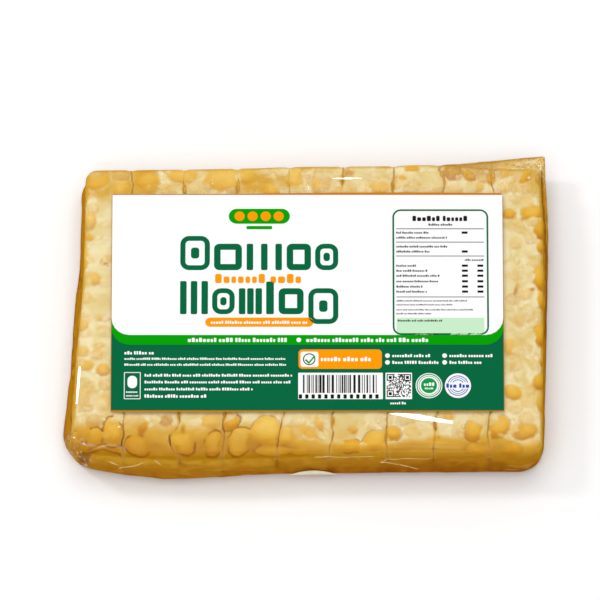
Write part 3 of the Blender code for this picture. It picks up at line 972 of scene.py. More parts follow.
edge_loop = outline(EDGE_SIDES, EDGE_CORNERS, COLUMNS, ROWS)
hem_loop = outline(HEM_SIDES, HEM_CORNERS, COLUMNS, ROWS)
edge_joint = on_cake(*edge_loop.T)[2]
edge_loop = moved_in(edge_loop, 0.35 * np.exp(-(edge_joint / 1.2) ** 2))
wander = lattice_noise(np.column_stack([hem_loop, hem_loop[:, 0] * 0]), 4.0, 21) - 0.5
hem_loop = moved_in(hem_loop, 0.15 + 0.3 * wander)
rim = moved_in(edge_loop, EDGE_TURN)
grid = top_grid(rim, STICKS * COLUMNS, ROWS)
rows_now, columns_now = grid.shape[:2]
flat_grid = grid.reshape(-1, 2)
top_points = np.column_stack([flat_grid, film_level(*flat_grid.T)])
numbers = np.arange(len(top_points)).reshape(rows_now, columns_now)
rim_numbers = np.concatenate([numbers[0, :-1], numbers[:-1, -1], numbers[-1, :0:-1], numbers[:0:-1, 0]])
crest = top_points[rim_numbers, 2]
low = hem_heights(hem_loop)
print("top grid:", rows_now, "x", columns_now, "edge points:", len(edge_loop))

# %% The film's finish
def film_finish():
    """See-through film with a faint mirror on it, and amber marinade smeared under it."""
    film = Finish("clear_film")
    crinkle, smear, glint = film.painted("crinkle"), film.painted("smear"), film.painted("glint")
    fine = film.mottle(1.6 * MM, 3.0, 0.6, 1.2)
    broad = film.mottle(6.0 * MM, 2.0)
    sharp = 1.0 - film.stretch(film.cracks(3.2 * MM), 0.0, 0.12)
    height = crinkle * (fine * 0.7 + sharp * 0.5) + broad * 0.12
    normal = film.bumps(height, 0.5 * MM, 0.8)
    bare = film.node("ShaderNodeFresnel", {}, {"IOR": 1.3, "Normal": normal})
    sparkle = film.stretch(crinkle, 0.4, 1.4) * film.stretch(fine, 0.57, 0.66) * 0.35
    flat = (1.0, 1.0, 0.15)         # heights count little, so a glint follows the beans it crosses
    where = film.vector("MULTIPLY", film.place(), flat)
    streak = 0.0
    for start, end, near, far, strength in GLINTS:
        ends = [Vector((*place, GLINT_HEIGHT * flat[2])) * MM for place in (start, end)]
        streak = streak + film.stroke(where, *ends, near * MM, far * MM, GLINT_SOFT * MM) * strength
    mirror = film.maths("MINIMUM", bare, 0.006) + glint + sparkle + streak
    clear = film.node("ShaderNodeBsdfTransparent", {}, {"Color": (0.985, 0.98, 0.965, 1.0)})
    gloss = film.node("ShaderNodeBsdfGlossy", {}, {
        "Color": (1.0, 1.0, 1.0, 1.0), "Roughness": 0.08 + streak * 0.3, "Normal": normal})
    skin = film.node("ShaderNodeMixShader", {}, [mirror, clear, gloss])
    amber = film.tint(fine, PAINT["smear_deep"], PAINT["smear_thin"])
    amber = film.principled(amber, 0.2, Specular_IOR_Level=0.1, Normal=normal)
    share = film.stretch(smear + (fine - 0.5) * 0.6, 0.35, 1.0) * 0.85
    return film.finished(film.node("ShaderNodeMixShader", {}, [share, skin, amber]))


film_material = film_finish()
print("film finish:", len(film_material.node_tree.nodes), "nodes")

# %% The film, made
film_rings = flank(edge_loop, hem_loop, crest, low, 16)
base_loop = moved_in(edge_loop, 0.8)
for inward, down in ((0.35, 0.62), (0.8, 0.93), (1.0, 1.0)):
    film_rings.append(np.column_stack([blend(hem_loop, base_loop, inward), low * (1.0 - down)]))
film_points = np.concatenate([top_points] + film_rings)
film_faces = []
for near, far in zip(numbers, numbers[1:]):
    film_faces += np.stack([near[:-1], near[1:], far[1:], far[:-1]], axis=1).tolist()
previous, first = rim_numbers, len(top_points)
for ring in film_rings:
    current = np.arange(first, first + len(ring))
    film_faces += ring_faces(current, previous)
    previous, first = current, first + len(ring)
film_faces.append(previous[::-1].tolist())
x, y, z = film_points.T
folds, fold_glint = fold_shape(x, y) * smooth((z - 11.0) / 3.0)
film_points[:, 2] += folds
film = add_mesh("film", film_points, film_faces, film_material)
joint = on_cake(x, y)[2]
corner_left = np.exp(-(np.hypot(x + 78, y + 50) / 7.0) ** 2)
corner_ear = np.exp(-(np.hypot(x - 79, y - 52) / 8.0) ** 2)
low_flank = smooth((15.5 - z) / 3.0)
crinkle = 0.15 * np.exp(-(joint / 1.5) ** 2) + 1.6 * corner_left + 1.6 * corner_ear + 0.35 * low_flank
for spot_x, spot_y, size in SPARKLES:
    crinkle += 1.1 * np.exp(-(np.hypot(x - spot_x, y - spot_y) / size) ** 2)
veins = lattice_noise(film_points, 5.0, 61) - 0.5
in_joint = 0.62 + 0.9 * veins + 0.4 * smooth(y / 30.0)
smear = 0.35 * gap_depth(x, y) + np.exp(-(joint / 0.42) ** 2) * in_joint
smear = smear * smooth((z - 14.0) / 2.0) * (1.0 - 0.8 * bridged(x, y))
smear += 0.55 * smooth((x - 43.0) / 4.0) * smooth((72.0 - x) / 8.0) * smooth((y - 44.5) / 3.5)
paint(film, crinkle=crinkle, smear=smear, glint=fold_glint)
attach(film, "root")
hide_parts("pouch")
print("film:", len(film_points), "points, z up to", z.max().round(2))

# %% [markdown]
# ## The marinade
# A little marinade is caught all round between the stick ends and the film. It is
# a closed ring just inside the film. At its upper rim it carries the cake's own
# skin, because the liquid is thin and clear there, and further down it sinks into
# amber, darkest at the hem and on the front: partly the liquid's depth, partly
# painted shade. A true absorbing liquid would darken by itself, but the depth can
# be worked out from the two outlines and painted, which costs nothing.

# %% Marinade ring
marinade_rings = flank(edge_loop, hem_loop, crest, low, 12, inset=0.22)[1:]
outer_rings = len(marinade_rings)
inner = moved_in(edge_loop, 2.6)
for inward, down in ((0.35, 0.60), (0.8, 0.90), (1.0, 0.97)):
    ring = blend(moved_in(hem_loop, 0.25), moved_in(edge_loop, 1.2), inward)
    marinade_rings.append(np.column_stack([ring, low * (1.0 - down) + 0.15]))
marinade_rings.append(np.column_stack([inner, np.full(len(inner), 0.7)]))
marinade_rings.append(np.column_stack([inner, crest - 2.4]))
marinade_points = np.concatenate(marinade_rings)
ring_numbers = np.arange(len(marinade_points)).reshape(len(marinade_rings), -1)
marinade_faces = []
for here, there in zip(ring_numbers, np.roll(ring_numbers, -1, axis=0)):
    marinade_faces += ring_faces(there, here)
print("marinade ring:", len(marinade_points), "points")

# %% The marinade's finish
# Painted highlights along creases of the film over the front flank: (x, z) of both ends in millimetres.
FRONT_CREASE_HIGHLIGHTS = [
    ((25, 10.4), (27.8, 12.5)), ((27.6, 12.3), (33.2, 13.2)), ((33, 13.2), (41.5, 12.6)),
    ((25, 10.4), (31.8, 8.6)), ((31.4, 8.7), (37.5, 5.8)), ((-63, 6.8), (-57.6, 9.1)),
    ((-57.8, 9), (-54, 12)), ((-50.8, 13.3), (-49, 11)), ((-66.2, 10.3), (-63.4, 8.8)),
    ((3, 15.2), (13, 14.9)), ((12, 14.9), (22.5, 15.2)),
]
EAR_CREASE_HIGHLIGHTS = [  # the same over the loose rear corner, as (x, y)
    ((69.6, 51.4), (73.4, 51.2)), ((73.2, 51.2), (75.6, 51.9)), ((77.2, 54.4), (79.4, 55.9)),
    ((79.6, 51), (79.2, 54.8)), ((74.5, 53.8), (77.6, 55.2)),
]
CREASE_WIDTH = 0.2


def marinade_finish():
    """The cake's own skin at the upper rim, sinking into amber liquid further down that is darkened by
    painted shade, with painted highlights on the film's creases.
    """
    liquid = Finish("marinade")
    cake_colour, fluff = cake_skin(liquid)[:2]
    thick, seam, pale = liquid.painted("thick"), liquid.painted("seam"), liquid.painted("pale")
    creased, cover = liquid.painted("creased"), liquid.painted("cover")
    clouds = liquid.mottle(6.0 * MM, 3.0, 0.6, 1.0)
    wisps = liquid.mottle(2.0 * MM, 4.0, 0.65, 1.5)
    streaks = liquid.mottle(2.2 * MM, 3.0, 0.6, 0.6, (0.22, 0.22, 1.6))
    # The depth holds the liquid's thickness together with painted shade lower down and on the front.
    depth = thick + (clouds - 0.5) * 1.3 + (wisps - 0.5) * 0.8 + (streaks - 0.5) * 1.1
    colour = liquid.tint(liquid.stretch(depth, -0.1, 0.5), PAINT["liquid_thin"], PAINT["liquid"])
    colour = liquid.tint(liquid.stretch(depth, 0.5, 1.2), colour, PAINT["liquid_deep"])
    colour = liquid.tint(liquid.stretch(streaks, 0.58, 0.68) * 0.5, colour, PAINT["liquid_streak"])
    lip_tone = liquid.stretch(wisps + (clouds - 0.5) * 0.6, 0.3, 0.62)
    lip_skin = liquid.tint(lip_tone, PAINT["lip_dull"], PAINT["lip_pale"])
    colour = liquid.tint(pale * liquid.stretch(clouds + pale * 0.3, 0.25, 0.6), colour, lip_skin)
    joint = 1.0 - liquid.stretch(seam + (wisps - 0.5) * 0.8, 0.1, 0.9)
    joint = joint * liquid.stretch(clouds, 0.35, 0.65)
    colour = liquid.tint(joint * 0.6, colour, PAINT["liquid_joint"])
    sunk = liquid.stretch(cover + (clouds - 0.5) * 0.5 + (wisps - 0.5) * 0.4, 0.05, 0.95)
    colour = lined(liquid, liquid.tint(sunk, cake_colour, colour))
    # Painted highlights: pale sparkles where the film is crumpled, at the ear and the front left
    # corner.
    net = 1.0 - liquid.stretch(liquid.cracks(1.7 * MM), 0.0, 0.13)
    painted_sparkles = net * liquid.stretch(wisps, 0.44, 0.6) * creased
    colour = liquid.tint(painted_sparkles * 0.85, colour, PAINT["sparkle_highlight"])
    # Painted highlights: pale strokes along the film's creases, drawn into the marinade's colour.
    shake = liquid.node("ShaderNodeCombineXYZ", {}, [(wisps - 0.5) * 0.9 * MM] * 3)
    shaken = liquid.vector("ADD", liquid.place(), shake)
    near, far = CREASE_WIDTH * MM, CREASE_WIDTH * 0.6 * MM
    for highlight_strokes, plane, share in ((FRONT_CREASE_HIGHLIGHTS, (1.0, 0.0, 1.0), liquid.painted("front")),
                                  (EAR_CREASE_HIGHLIGHTS, (1.0, 1.0, 0.0), liquid.painted("rear"))):
        where = liquid.vector("MULTIPLY", shaken, plane)
        highlight = 0.0
        for crease in highlight_strokes:
            ends = [Vector((x, level, level)) * Vector(plane) * MM for x, level in crease]
            highlight = highlight + liquid.stroke(where, *ends, near, far, 0.1 * MM)
        highlight = highlight.clamped() * share * liquid.stretch(wisps, 0.3, 0.5)
        colour = liquid.tint(highlight, colour, PAINT["crease_highlight"])
    normal = liquid.bumps(clouds + wisps * 0.3 + streaks * 0.6, 0.5 * MM, 0.5)
    return liquid.finished(liquid.principled(
        colour, 0.3 + fluff * 0.1, Normal=normal, Specular_IOR_Level=0.0))


print("light creases:", len(FRONT_CREASE_HIGHLIGHTS) + len(EAR_CREASE_HIGHLIGHTS))

# %% The marinade, made
marinade = add_mesh("marinade", marinade_points, marinade_faces, marinade_finish())
mx, my, mz = marinade_points.T
ring_count = len(marinade_rings)
lip = np.tile(np.linalg.norm(hem_loop - edge_loop, axis=1), ring_count)
from_edge = np.linalg.norm(marinade_points[:, :2] - np.tile(edge_loop, (ring_count, 1)), axis=1)
reach = np.clip(from_edge / lip, 0.0, 1.0)
reach[outer_rings * len(edge_loop):] = 1.0
down = np.tile(crest, ring_count) - mz
cover = smooth((down - 0.4) / 3.6)
# Marinade depth and painted shade: the amber deepens downwards and on the front flank.
thick = smooth((13.5 - mz) / 10.0) * np.clip(0.45 + lip * 0.12, 0.0, 1.1)
thick += 0.42 * smooth((-50.0 - my) / 2.0) * smooth((mx + 50.0) / 90.0)
sideways = smooth((np.abs(np.tile(outward(edge_loop)[:, 0], ring_count)) - 0.6) / 0.3)
from_ear = np.maximum(np.abs(mx - EAR[0]) - 12.0, 0.0)
ear_share = np.exp(-(from_ear / 14.0) ** 2) * smooth((my - 46.0) / 4.0)
pale = ear_share * 0.9 * (1.0 - smooth((reach - 0.62) / 0.3))
# Where the painted sparkle highlights go.
creased = np.exp(-(np.hypot(mx - EAR[0] + 2.0, my - EAR[1] + 1.0) / 8.0) ** 2)
creased += 0.9 * np.exp(-(np.hypot(mx + 81.0, my + 46.0) / 5.0) ** 2)
clear_side = sideways * np.where(mx < 0.0, 0.85, 0.7) * (1.0 - smooth((reach - 0.45) / 0.35))
cover = np.maximum(cover * (1.0 - clear_side), ear_share * smooth((down - 0.5) / 1.5))
front, rear = smooth((-50.0 - my) / 2.0), smooth((my - 48.0) / 2.0)
above = np.column_stack([mx, my, np.where(mz > 14.2, np.maximum(mz, CAKE_TOP - 1.5), mz)])
paint(marinade, **painted_cake(above)[0])
paint(marinade, thick=thick, pale=pale, creased=creased, front=front, rear=rear, cover=cover)
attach(marinade, "root")
print("marinade covers", round(float(cover.mean()), 2), "of the skin it carries")

# %% Film tab: a scrap of the seam at the foot of the front flank, its pale colour a painted highlight
TAB_START, TAB_END, TAB_RISE = -5.8, 10.2, 2.4
share = np.linspace(0.0, 1.0, 25)
tab_x = blend(TAB_START, TAB_END, share)
tab_hem = line(HEM_SIDES["front"], tab_x)
tab_rows = []
for up in (1.0, 0.5, 0.0):
    rise = up * TAB_RISE * np.sin(np.pi * share) ** 0.8
    tab_rows.append(np.column_stack([tab_x, tab_hem - 0.12 + 0.29 * rise, 3.9 + rise]))
tab_above = np.concatenate(tab_rows)
tab_points = np.concatenate([tab_above, tab_above + (0.0, 0.1, -0.05)])
tab_count, tab_faces = len(tab_above), []
for row in range(2):
    first_row = np.arange(24) + row * 25
    quads = np.stack([first_row, first_row + 25, first_row + 26, first_row + 1], axis=1)
    tab_faces += quads.tolist() + (quads[:, ::-1] + tab_count).tolist()
tab_rim = list(range(25)) + [49, 74] + list(range(73, 49, -1)) + [25]
for here, there in zip(tab_rim, tab_rim[1:] + tab_rim[:1]):
    tab_faces.append([here, there, there + tab_count, here + tab_count])
# Painted highlight: pale cream stands for the shine of the clear film scrap.
seam = Finish("film_tab_highlight")
cloud = seam.mottle(2.0 * MM, 3.0)
tab_highlight_colour = seam.tint(cloud, PAINT["tab_highlight_pale"], PAINT["tab_highlight_warm"])
tab_highlight_material = seam.finished(seam.principled(tab_highlight_colour, 0.2 + cloud * 0.1))
tab = add_mesh("film_tab", tab_points, tab_faces, tab_highlight_material)
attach(tab, "root")
print("film tab reaches y =", round(float(tab_points[:, 1].min()), 2), "mm")

# %% [markdown]
# ## The label
# The label is coated paper, printed in flat fields: a white card over a green one.
# Every printed shape is a thin closed plate of its own colour, stacked a few
# hundredths of a millimetre apart and laid on one gentle wave, so the sheet is
# never dead flat. Writing would be too small to read here, so words and numbers
# are rows of short bars, which keeps the label's rhythm and leaves it generic.

# %% The sheet, and how shapes are laid on it
LABEL_WIDTH, LABEL_DEPTH = 131.8, 77.1
LABEL_LEFT, LABEL_TOP = label_low.x / MM, label_high.y / MM
SHEET_LOW, SHEET_THICK = 18.12, 0.12
INK_THICK = 0.03
DRAPE_STEP = 6.0                # how often a shape is cut so that it can follow the wave
INK_ROUGHNESS = 0.5


def paper_wave(x, y):
    """Gentle rise and fall of the paper, in millimetres."""
    over_sticks = 0.5 + 0.5 * np.cos(2.0 * np.pi * x / 17.5 + 0.02 * y)
    return 0.012 * over_sticks + 0.02 * (0.5 + 0.5 * np.sin(x / 19.0 + y / 31.0))


def rounded(a, t, width, depth, radius=0.0, steps=5):
    """Rounded rectangle from its left, its top and its size on the label."""
    radius = min(radius, width / 2, depth / 2)
    if radius <= 0:
        return [(a, t), (a, t + depth), (a + width, t + depth), (a + width, t)]
    near, far = (a + radius, t + radius), (a + width - radius, t + depth - radius)
    points = []
    for corner_a, corner_t, start in ((near[0], near[1], 90), (near[0], far[1], 180),
                                      (far[0], far[1], 270), (far[0], near[1], 0)):
        for step in range(steps + 1):
            angle = math.radians(start + 90 * step / steps)
            points.append((corner_a + radius * math.cos(angle), corner_t - radius * math.sin(angle)))
    return points


def disc(a, t, radius, steps=28):
    turns = [2 * math.pi * step / steps for step in range(steps)]
    return [(a + radius * math.cos(turn), t - radius * math.sin(turn)) for turn in turns]


def frame_of(outer, inner):
    """A band between two outlines with the same number of points, as quads."""
    count = len(outer)
    return [[outer[i], outer[(i + 1) % count], inner[(i + 1) % count], inner[i]] for i in range(count)]


def ring(a, t, radius, width):
    return frame_of(disc(a, t, radius), disc(a, t, radius - width))


def box_line(a, t, width, depth, radius, thickness):
    inner = rounded(a + thickness, t + thickness, width - 2 * thickness, depth - 2 * thickness,
                    max(radius - thickness, 0.05))
    return frame_of(rounded(a, t, width, depth, radius), inner)


def words(a, t, length, height, seed=0, letter=0.62):
    """A line of writing as small upright blocks in word-long groups; t is the line's middle."""
    pick = np.random.default_rng(seed)
    bars, start, left_in_word = [], a, 0
    while start < a + length - 0.3:
        if left_in_word == 0:
            left_in_word = int(pick.integers(3, 9))
            start += letter * height * 0.6 if bars else 0.0
        width = letter * height * pick.uniform(0.75, 1.15)
        tall = height * pick.choice([0.72, 0.72, 1.0])
        bars.append(rounded(start, t + height / 2 - tall, width, tall, height * 0.12, 1))
        start += width + 0.2 * height
        left_in_word -= 1
    return bars


def lines_of_words(rows, seed):
    """Writing, a line for each (left, middle, length, height)."""
    return [bar for step, row in enumerate(rows) for bar in words(*row, seed + step)]


def laid_on_label(name, level, shapes, material, thick=INK_THICK):
    """One closed plate per shape, at a level in millimetres, draped on the wave."""
    bm = bmesh.new()
    for shape in shapes:
        bm.faces.new([bm.verts.new((LABEL_LEFT + a, LABEL_TOP - t, 0.0)) for a, t in shape])
    bmesh.ops.recalc_face_normals(bm, faces=bm.faces)
    for face in bm.faces:
        if face.normal.z < 0:
            face.normal_flip()
    bmesh.ops.remove_doubles(bm, verts=bm.verts, dist=1e-4)
    for axis, size in ((0, LABEL_WIDTH), (1, LABEL_DEPTH)):
        for step in range(1, int(size / DRAPE_STEP) + 1):
            place = [LABEL_LEFT, LABEL_TOP - LABEL_DEPTH][axis] + step * DRAPE_STEP
            plane = [0.0, 0.0, 0.0]
            plane[axis] = 1.0
            where = [v * place for v in plane]
            geometry = bm.verts[:] + bm.edges[:] + bm.faces[:]
            bmesh.ops.bisect_plane(bm, geom=geometry, plane_co=where, plane_no=plane, dist=1e-5)
    below = bmesh.ops.duplicate(bm, geom=bm.faces[:])["geom"]
    lower = [v for v in below if isinstance(v, bmesh.types.BMVert)]
    lower_faces = [f for f in below if isinstance(f, bmesh.types.BMFace)]
    for vert in lower:
        vert.co.z -= thick
    bmesh.ops.reverse_faces(bm, faces=lower_faces)
    lower_set = set(lower)
    rims = [edge for edge in bm.edges if edge.is_boundary]
    upper = [e for e in rims if e.verts[0] not in lower_set]
    under = [e for e in rims if e.verts[0] in lower_set]
    if len(shapes) == 1:
        bmesh.ops.bridge_loops(bm, edges=upper + under)
    else:
        wall(bm, upper, thick)
    bmesh.ops.remove_doubles(bm, verts=bm.verts, dist=1e-4)
    bmesh.ops.recalc_face_normals(bm, faces=bm.faces)
    for vert in bm.verts:
        vert.co.z += level + float(paper_wave(vert.co.x, vert.co.y))
        vert.co *= MM
    mesh = bpy.data.meshes.new(name)
    bm.to_mesh(mesh)
    bm.free()
    mesh.materials.append(material)
    piece = bpy.data.objects.new(name, mesh)
    bpy.context.scene.collection.objects.link(piece)
    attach(piece, "root")
    return piece


def wall(bm, rims, thick):
    """Side walls straight down from the rims of the upper faces."""
    for edge in rims:
        a, b = edge.verts
        low_a = bm.verts.new((a.co.x, a.co.y, a.co.z - thick))
        low_b = bm.verts.new((b.co.x, b.co.y, b.co.z - thick))
        bm.faces.new((a, b, low_b, low_a))


def ink(name, colour):
    """Printed paper: flat colour with a trace of fibre in tone and gloss."""
    paper = Finish(name)
    fibre, cloud = paper.mottle(0.5 * MM, 3.0, 0.6), paper.mottle(25.0 * MM, 2.0)
    darker = tuple(value * 0.94 for value in colour[:3]) + (1.0,)
    mixed = paper.tint(cloud * 0.6 + fibre * 0.4, darker, colour)
    normal = paper.bumps(fibre, 0.01 * MM, 0.4)
    return paper.finished(paper.principled(
        mixed, INK_ROUGHNESS - 0.08 + cloud * 0.16, Normal=normal, Specular_IOR_Level=0.03))


WHITE = ink("paper_white", (0.93, 0.93, 0.93, 1.0))
DARK_GREEN, BRIGHT_GREEN, ORANGE, BLACK, BROWN_ORANGE, PALE_GREEN, BLUE, SEAL_GREEN = [
    ink("ink_" + name, PAINT[name]) for name in (
        "dark_green", "bright_green", "orange", "black", "brown_orange", "pale_green", "blue",
        "seal_green")]
print("inks ready; label from", round(LABEL_LEFT, 2), "mm, rear edge at", round(LABEL_TOP, 2), "mm")

# %% Sheet and cards
under = [(-0.15, -0.3), (-0.15, LABEL_DEPTH + 0.6), (28.0, LABEL_DEPTH + 0.55),
         (80.0, LABEL_DEPTH + 0.35), (LABEL_WIDTH + 0.15, LABEL_DEPTH + 0.3), (LABEL_WIDTH + 0.15, 0.4),
         (LABEL_WIDTH - 0.5, -0.75), (100.0, -1.0), (75.0, -0.9), (40.0, -0.45)]
whole = rounded(0, 0, LABEL_WIDTH, LABEL_DEPTH, 0.3)
sheet = laid_on_label("label_sheet", SHEET_LOW + SHEET_THICK, [whole], DARK_GREEN, SHEET_THICK)
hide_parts("label")
laid_on_label("label_under", SHEET_LOW, [under], BROWN_ORANGE, 0.1)
LEVELS = [SHEET_LOW + SHEET_THICK + INK_THICK * (step + 1) * 0.9 for step in range(5)]


def card(depth, radius):
    """A field that fills the label's width down to a depth, with round lower corners."""
    return [(0.0, 0.0)] + rounded(0, 0, LABEL_WIDTH, depth, radius)[6:18] + [(LABEL_WIDTH, 0.0)]


laid_on_label("card_green", LEVELS[0], [card(53.8, 6.0)], BRIGHT_GREEN)
laid_on_label("card_white", LEVELS[1], [card(50.3, 6.0)], WHITE)
print("print levels in mm:", [round(level, 3) for level in LEVELS])

# %% Front of the label: crest, title and its small lines
BLOCKS = [  # left, top, width, depth and pattern of the ten large blocks
    (23, 14.8, 10, 12.3, "seed"), (34.4, 17.6, 9.4, 9.5, "frame"), (45.4, 17.6, 11.9, 9.5, "comb"),
    (58.9, 17.6, 8.2, 9.5, "frame"), (68.5, 17.6, 7.8, 9.5, "seed"), (23, 31, 9.4, 11.9, "comb"),
    (33.8, 33.6, 7.6, 9.3, "seed"), (42.8, 33.6, 7.8, 9.3, "comb"), (52, 31.2, 2.6, 11.7, "bar"),
    (56.2, 33.6, 8.4, 9.3, "frame"), (66.2, 33.6, 10.1, 12.8, "seed"),
]
STROKE = 2.2


def block(left, top, width, depth, pattern):
    """A generic mark that fills the place of one large printed letter."""
    if pattern == "bar":
        return [rounded(left, top, width, depth, 0.5)]
    if pattern == "frame":
        return box_line(left, top, width, depth, 1.8, STROKE)
    if pattern == "seed":
        inner = rounded(left + width * 0.36, top + depth * 0.34, width * 0.28, depth * 0.32, 1.0)
        return box_line(left, top, width, depth, 3.0, STROKE * 0.8) + [inner]
    step = (width - STROKE) / 2
    return [rounded(left + step * column, top, STROKE, depth, 0.5) for column in range(3)]


marks = [shape for row in BLOCKS for shape in block(*row)]
laid_on_label("title", LEVELS[2], marks, DARK_GREEN)
pod = [rounded(39.3, 5.0, 20.7, 5.4, 2.7), rounded(45.3, 11.2, 8.7, 1.2, 0.4)]
laid_on_label("crest_pod", LEVELS[2], pod, BRIGHT_GREEN)
laid_on_label("crest_beans", LEVELS[3], [disc(a, 7.7, 1.7) for a in (43.0, 47.4, 51.8, 56.2)], ORANGE)
subtitle = words(34.8, 30.1, 29.8, 3.3, 5) + [rounded(31.5, 44.1, 36.4, 3.3, 1.65)]
laid_on_label("subtitle", LEVELS[2], subtitle, ORANGE)
laid_on_label("pill_line", LEVELS[3], words(33.4, 45.8, 32.6, 1.1, 6), WHITE)
band = lines_of_words([(25.7, 52.1, 33.0, 1.5), (65.5, 52.1, 40.8, 1.5)], 7) + [disc(63.0, 52.1, 0.8)]
laid_on_label("band_line", LEVELS[2], band, WHITE)
print("front of the label laid")

# %% Lower green field: small print and marks
SMALL_PRINT = [  # left, middle, length and height of each line
    (4.4, 56.7, 10.2, 1.2), (4.4, 58.8, 54.5, 0.8), (4.4, 60.9, 54.5, 0.8), (11.2, 64.7, 49.5, 1),
    (11.2, 67.1, 48.8, 1), (11.2, 69.6, 36.3, 1), (11.2, 72.1, 20.8, 1.2), (5, 70.6, 4.2, 0.7),
    (5, 72, 4.2, 0.5), (94.4, 57.7, 12.6, 1.1), (94.4, 60.1, 15.4, 1.1), (113.6, 57.7, 14.2, 1.1),
    (113.6, 60.1, 10.4, 1.1), (93.7, 74.6, 5.5, 0.9),
]
small = lines_of_words(SMALL_PRINT, 11) + box_line(4.3, 63.6, 5.6, 9.6, 0.3, 0.25)
small += [rounded(5.5, 64.9, 3.2, 4.4, 1.5)]
small += [disc(a, t, 0.8) for t in (57.7, 60.1) for a in (92.8, 112.0)]
small += [rounded(62.8, 63.8, 28.4, 9.4, 0.2), rounded(92.1, 63.8, 8.9, 9.4, 0.2)]
small += [disc(106.7, 68.4, 4.5), disc(116.4, 68.4, 4.4)]
laid_on_label("small_print", LEVELS[1], small, WHITE)
laid_on_label("pill", LEVELS[1], [rounded(62.9, 55.5, 28.0, 6.9, 1.3)], ORANGE)
badge = [rounded(63.6, 56.3, 6.0, 5.4, 0.8)] + words(70.4, 58.9, 17.0, 1.6, 25)
laid_on_label("pill_badge", LEVELS[2], badge, WHITE)
laid_on_label("pill_ring", LEVELS[3], ring(66.5, 59.0, 2.1, 0.35), BLACK)
tick = [[(65.4, 58.9), (66.4, 59.9), (66.4, 60.7), (65.0, 59.4)],
        [(66.4, 59.9), (68.2, 57.6), (68.5, 58.1), (66.4, 60.7)]]
laid_on_label("tick", LEVELS[4], tick, BRIGHT_GREEN)
print("small print:", len(small), "shapes")

# %% Lower green field: two codes that hold nothing, and the seals
BARS = [0.26, 0.26, 0.52, 0.78]     # widths of bars and of the gaps between them
black = []
pick, at = np.random.default_rng(31), 64.4
while at < 89.3:
    bar_width = float(pick.choice(BARS))
    black.append(rounded(at, 64.6, bar_width, 6.4))
    at += bar_width + float(pick.choice(BARS))
black += [rounded(63.0 + 2.14 * step, 71.5, 1.1, 1.5, 0.3) for step in range(13)]
CODE_LEFT, CODE_TOP, MODULE = 92.5, 64.3, 0.34
MODULES, FRAME = 24, 7          # cells on a side, and cells on a side of a corner frame
LAST = MODULES - FRAME
for column, row in np.ndindex(MODULES, MODULES):
    framed = (row < FRAME and not FRAME <= column < LAST) or (column < FRAME and row >= LAST)
    if pick.random() < 0.45 and not framed:
        a, t = CODE_LEFT + column * MODULE, CODE_TOP + row * MODULE
        black.append(rounded(a, t, MODULE * 0.94, MODULE * 0.94))
for column, row in ((0, 0), (LAST, 0), (0, LAST)):
    a, t = CODE_LEFT + column * MODULE, CODE_TOP + row * MODULE
    black += box_line(a, t, FRAME * MODULE, FRAME * MODULE, 0.02, MODULE)
    black.append(rounded(a + 2 * MODULE, t + 2 * MODULE, 3 * MODULE, 3 * MODULE))
laid_on_label("codes", LEVELS[2], black, BLACK)
seal = ring(106.7, 68.4, 4.2, 0.35) + ring(106.7, 68.4, 3.5, 0.2) + [disc(106.7, 68.4, 2.7)]
laid_on_label("seal_green", LEVELS[2], seal, SEAL_GREEN)
seal = [quad for radius, width in ((3.6, 0.28), (2.9, 0.2), (2.2, 0.28))
        for quad in ring(116.4, 68.4, radius, width)]
laid_on_label("seal_blue", LEVELS[2], seal, BLUE)
bars = words(105.0, 67.9, 3.6, 1.2, 26) + words(105.3, 69.4, 3.0, 0.6, 28)
bars += [rounded(112.4, 67.3, 8.0, 2.2, 0.3)]
laid_on_label("seal_lines", LEVELS[3], bars, WHITE)
laid_on_label("seal_words", LEVELS[4], words(112.5, 68.4, 7.9, 1.6, 27), BLUE)
print("codes:", len(black), "shapes")

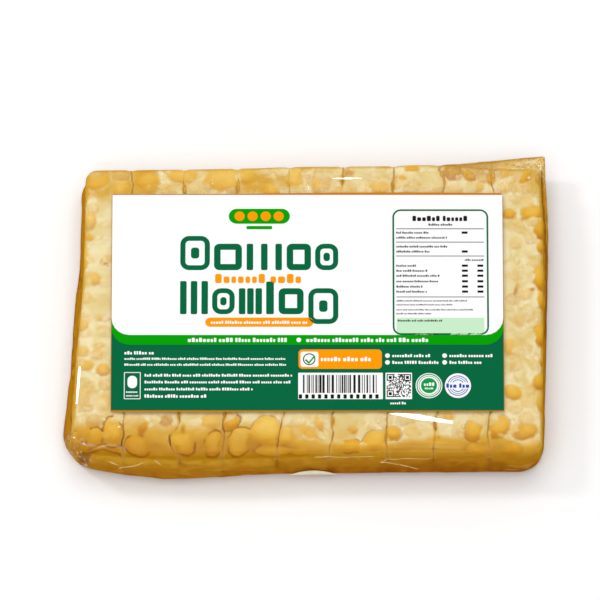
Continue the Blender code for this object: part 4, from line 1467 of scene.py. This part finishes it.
# %% Facts panel on the right
FACTS_LEFT = 95.9
FACTS = [  # middle and length of each line, then the left edges of its amounts
    (13.6, 11, [118]), (15.4, 17, []), (18.6, 17.5, []), (20.4, 11.5, [118]), (25.5, 7, [118, 123.2]),
    (27.3, 10, [118, 123.2]), (29.1, 14.5, [118, 123.2]), (31.1, 14, [118, 123.2]),
    (33, 9, [118, 123.2]), (34.8, 10.5, [118, 123.2]),
]
NOTES = [(38.1, 24), (39.5, 19), (41.3, 26), (42.7, 12)]
panel = box_line(94.6, 5.2, 32.4, 45.1, 2.8, 0.6)
laid_on_label("panel_frame", LEVELS[2], panel, DARK_GREEN)
facts = lines_of_words([(101.4, 8.5, 18.6, 1.9), (106.8, 10.7, 7.8, 0.8)], 40)
facts += [rounded(FACTS_LEFT, t, 29.6, 0.25) for t in (12.1, 16.9, 21.9, 36.6)]
facts += lines_of_words([(FACTS_LEFT, t, length, 0.75) for t, length, amounts in FACTS], 42)
facts += [rounded(a, t - 0.4, 2.0, 0.8, 0.1) for t, length, amounts in FACTS for a in amounts]
facts += lines_of_words([(119.0, 23.4, 6.3, 0.7)], 60)
facts += lines_of_words([(FACTS_LEFT, t, length, 0.5) for t, length in NOTES], 61)
laid_on_label("facts_lines", LEVELS[2], facts, BLACK)
laid_on_label("facts_box", LEVELS[2], [rounded(FACTS_LEFT, 44.2, 29.5, 6.1, 0.2)], PALE_GREEN)
laid_on_label("facts_note", LEVELS[3], words(96.3, 45.2, 15.2, 0.7, 66), BLACK)
print("facts panel laid; label pieces end at level", round(LEVELS[3], 3))

# %% [markdown]
# ## The floor
# A plain pale sheet, wide enough that its edge never shows.

# %% Floor
FLOOR_HALF = 1500.0
floor_finish = Finish("floor_paper")
floor_material = floor_finish.finished(floor_finish.principled((0.96, 0.96, 0.96, 1.0), 0.9))
corners = [(-1, -1, 0), (1, -1, 0), (1, 1, 0), (-1, 1, 0)]
floor = add_mesh("floor", np.array(corners) * FLOOR_HALF, [(0, 1, 2, 3)], floor_material)
floor.location.z = -0.02 * MM
print("floor", 2 * FLOOR_HALF / 1000, "m wide")
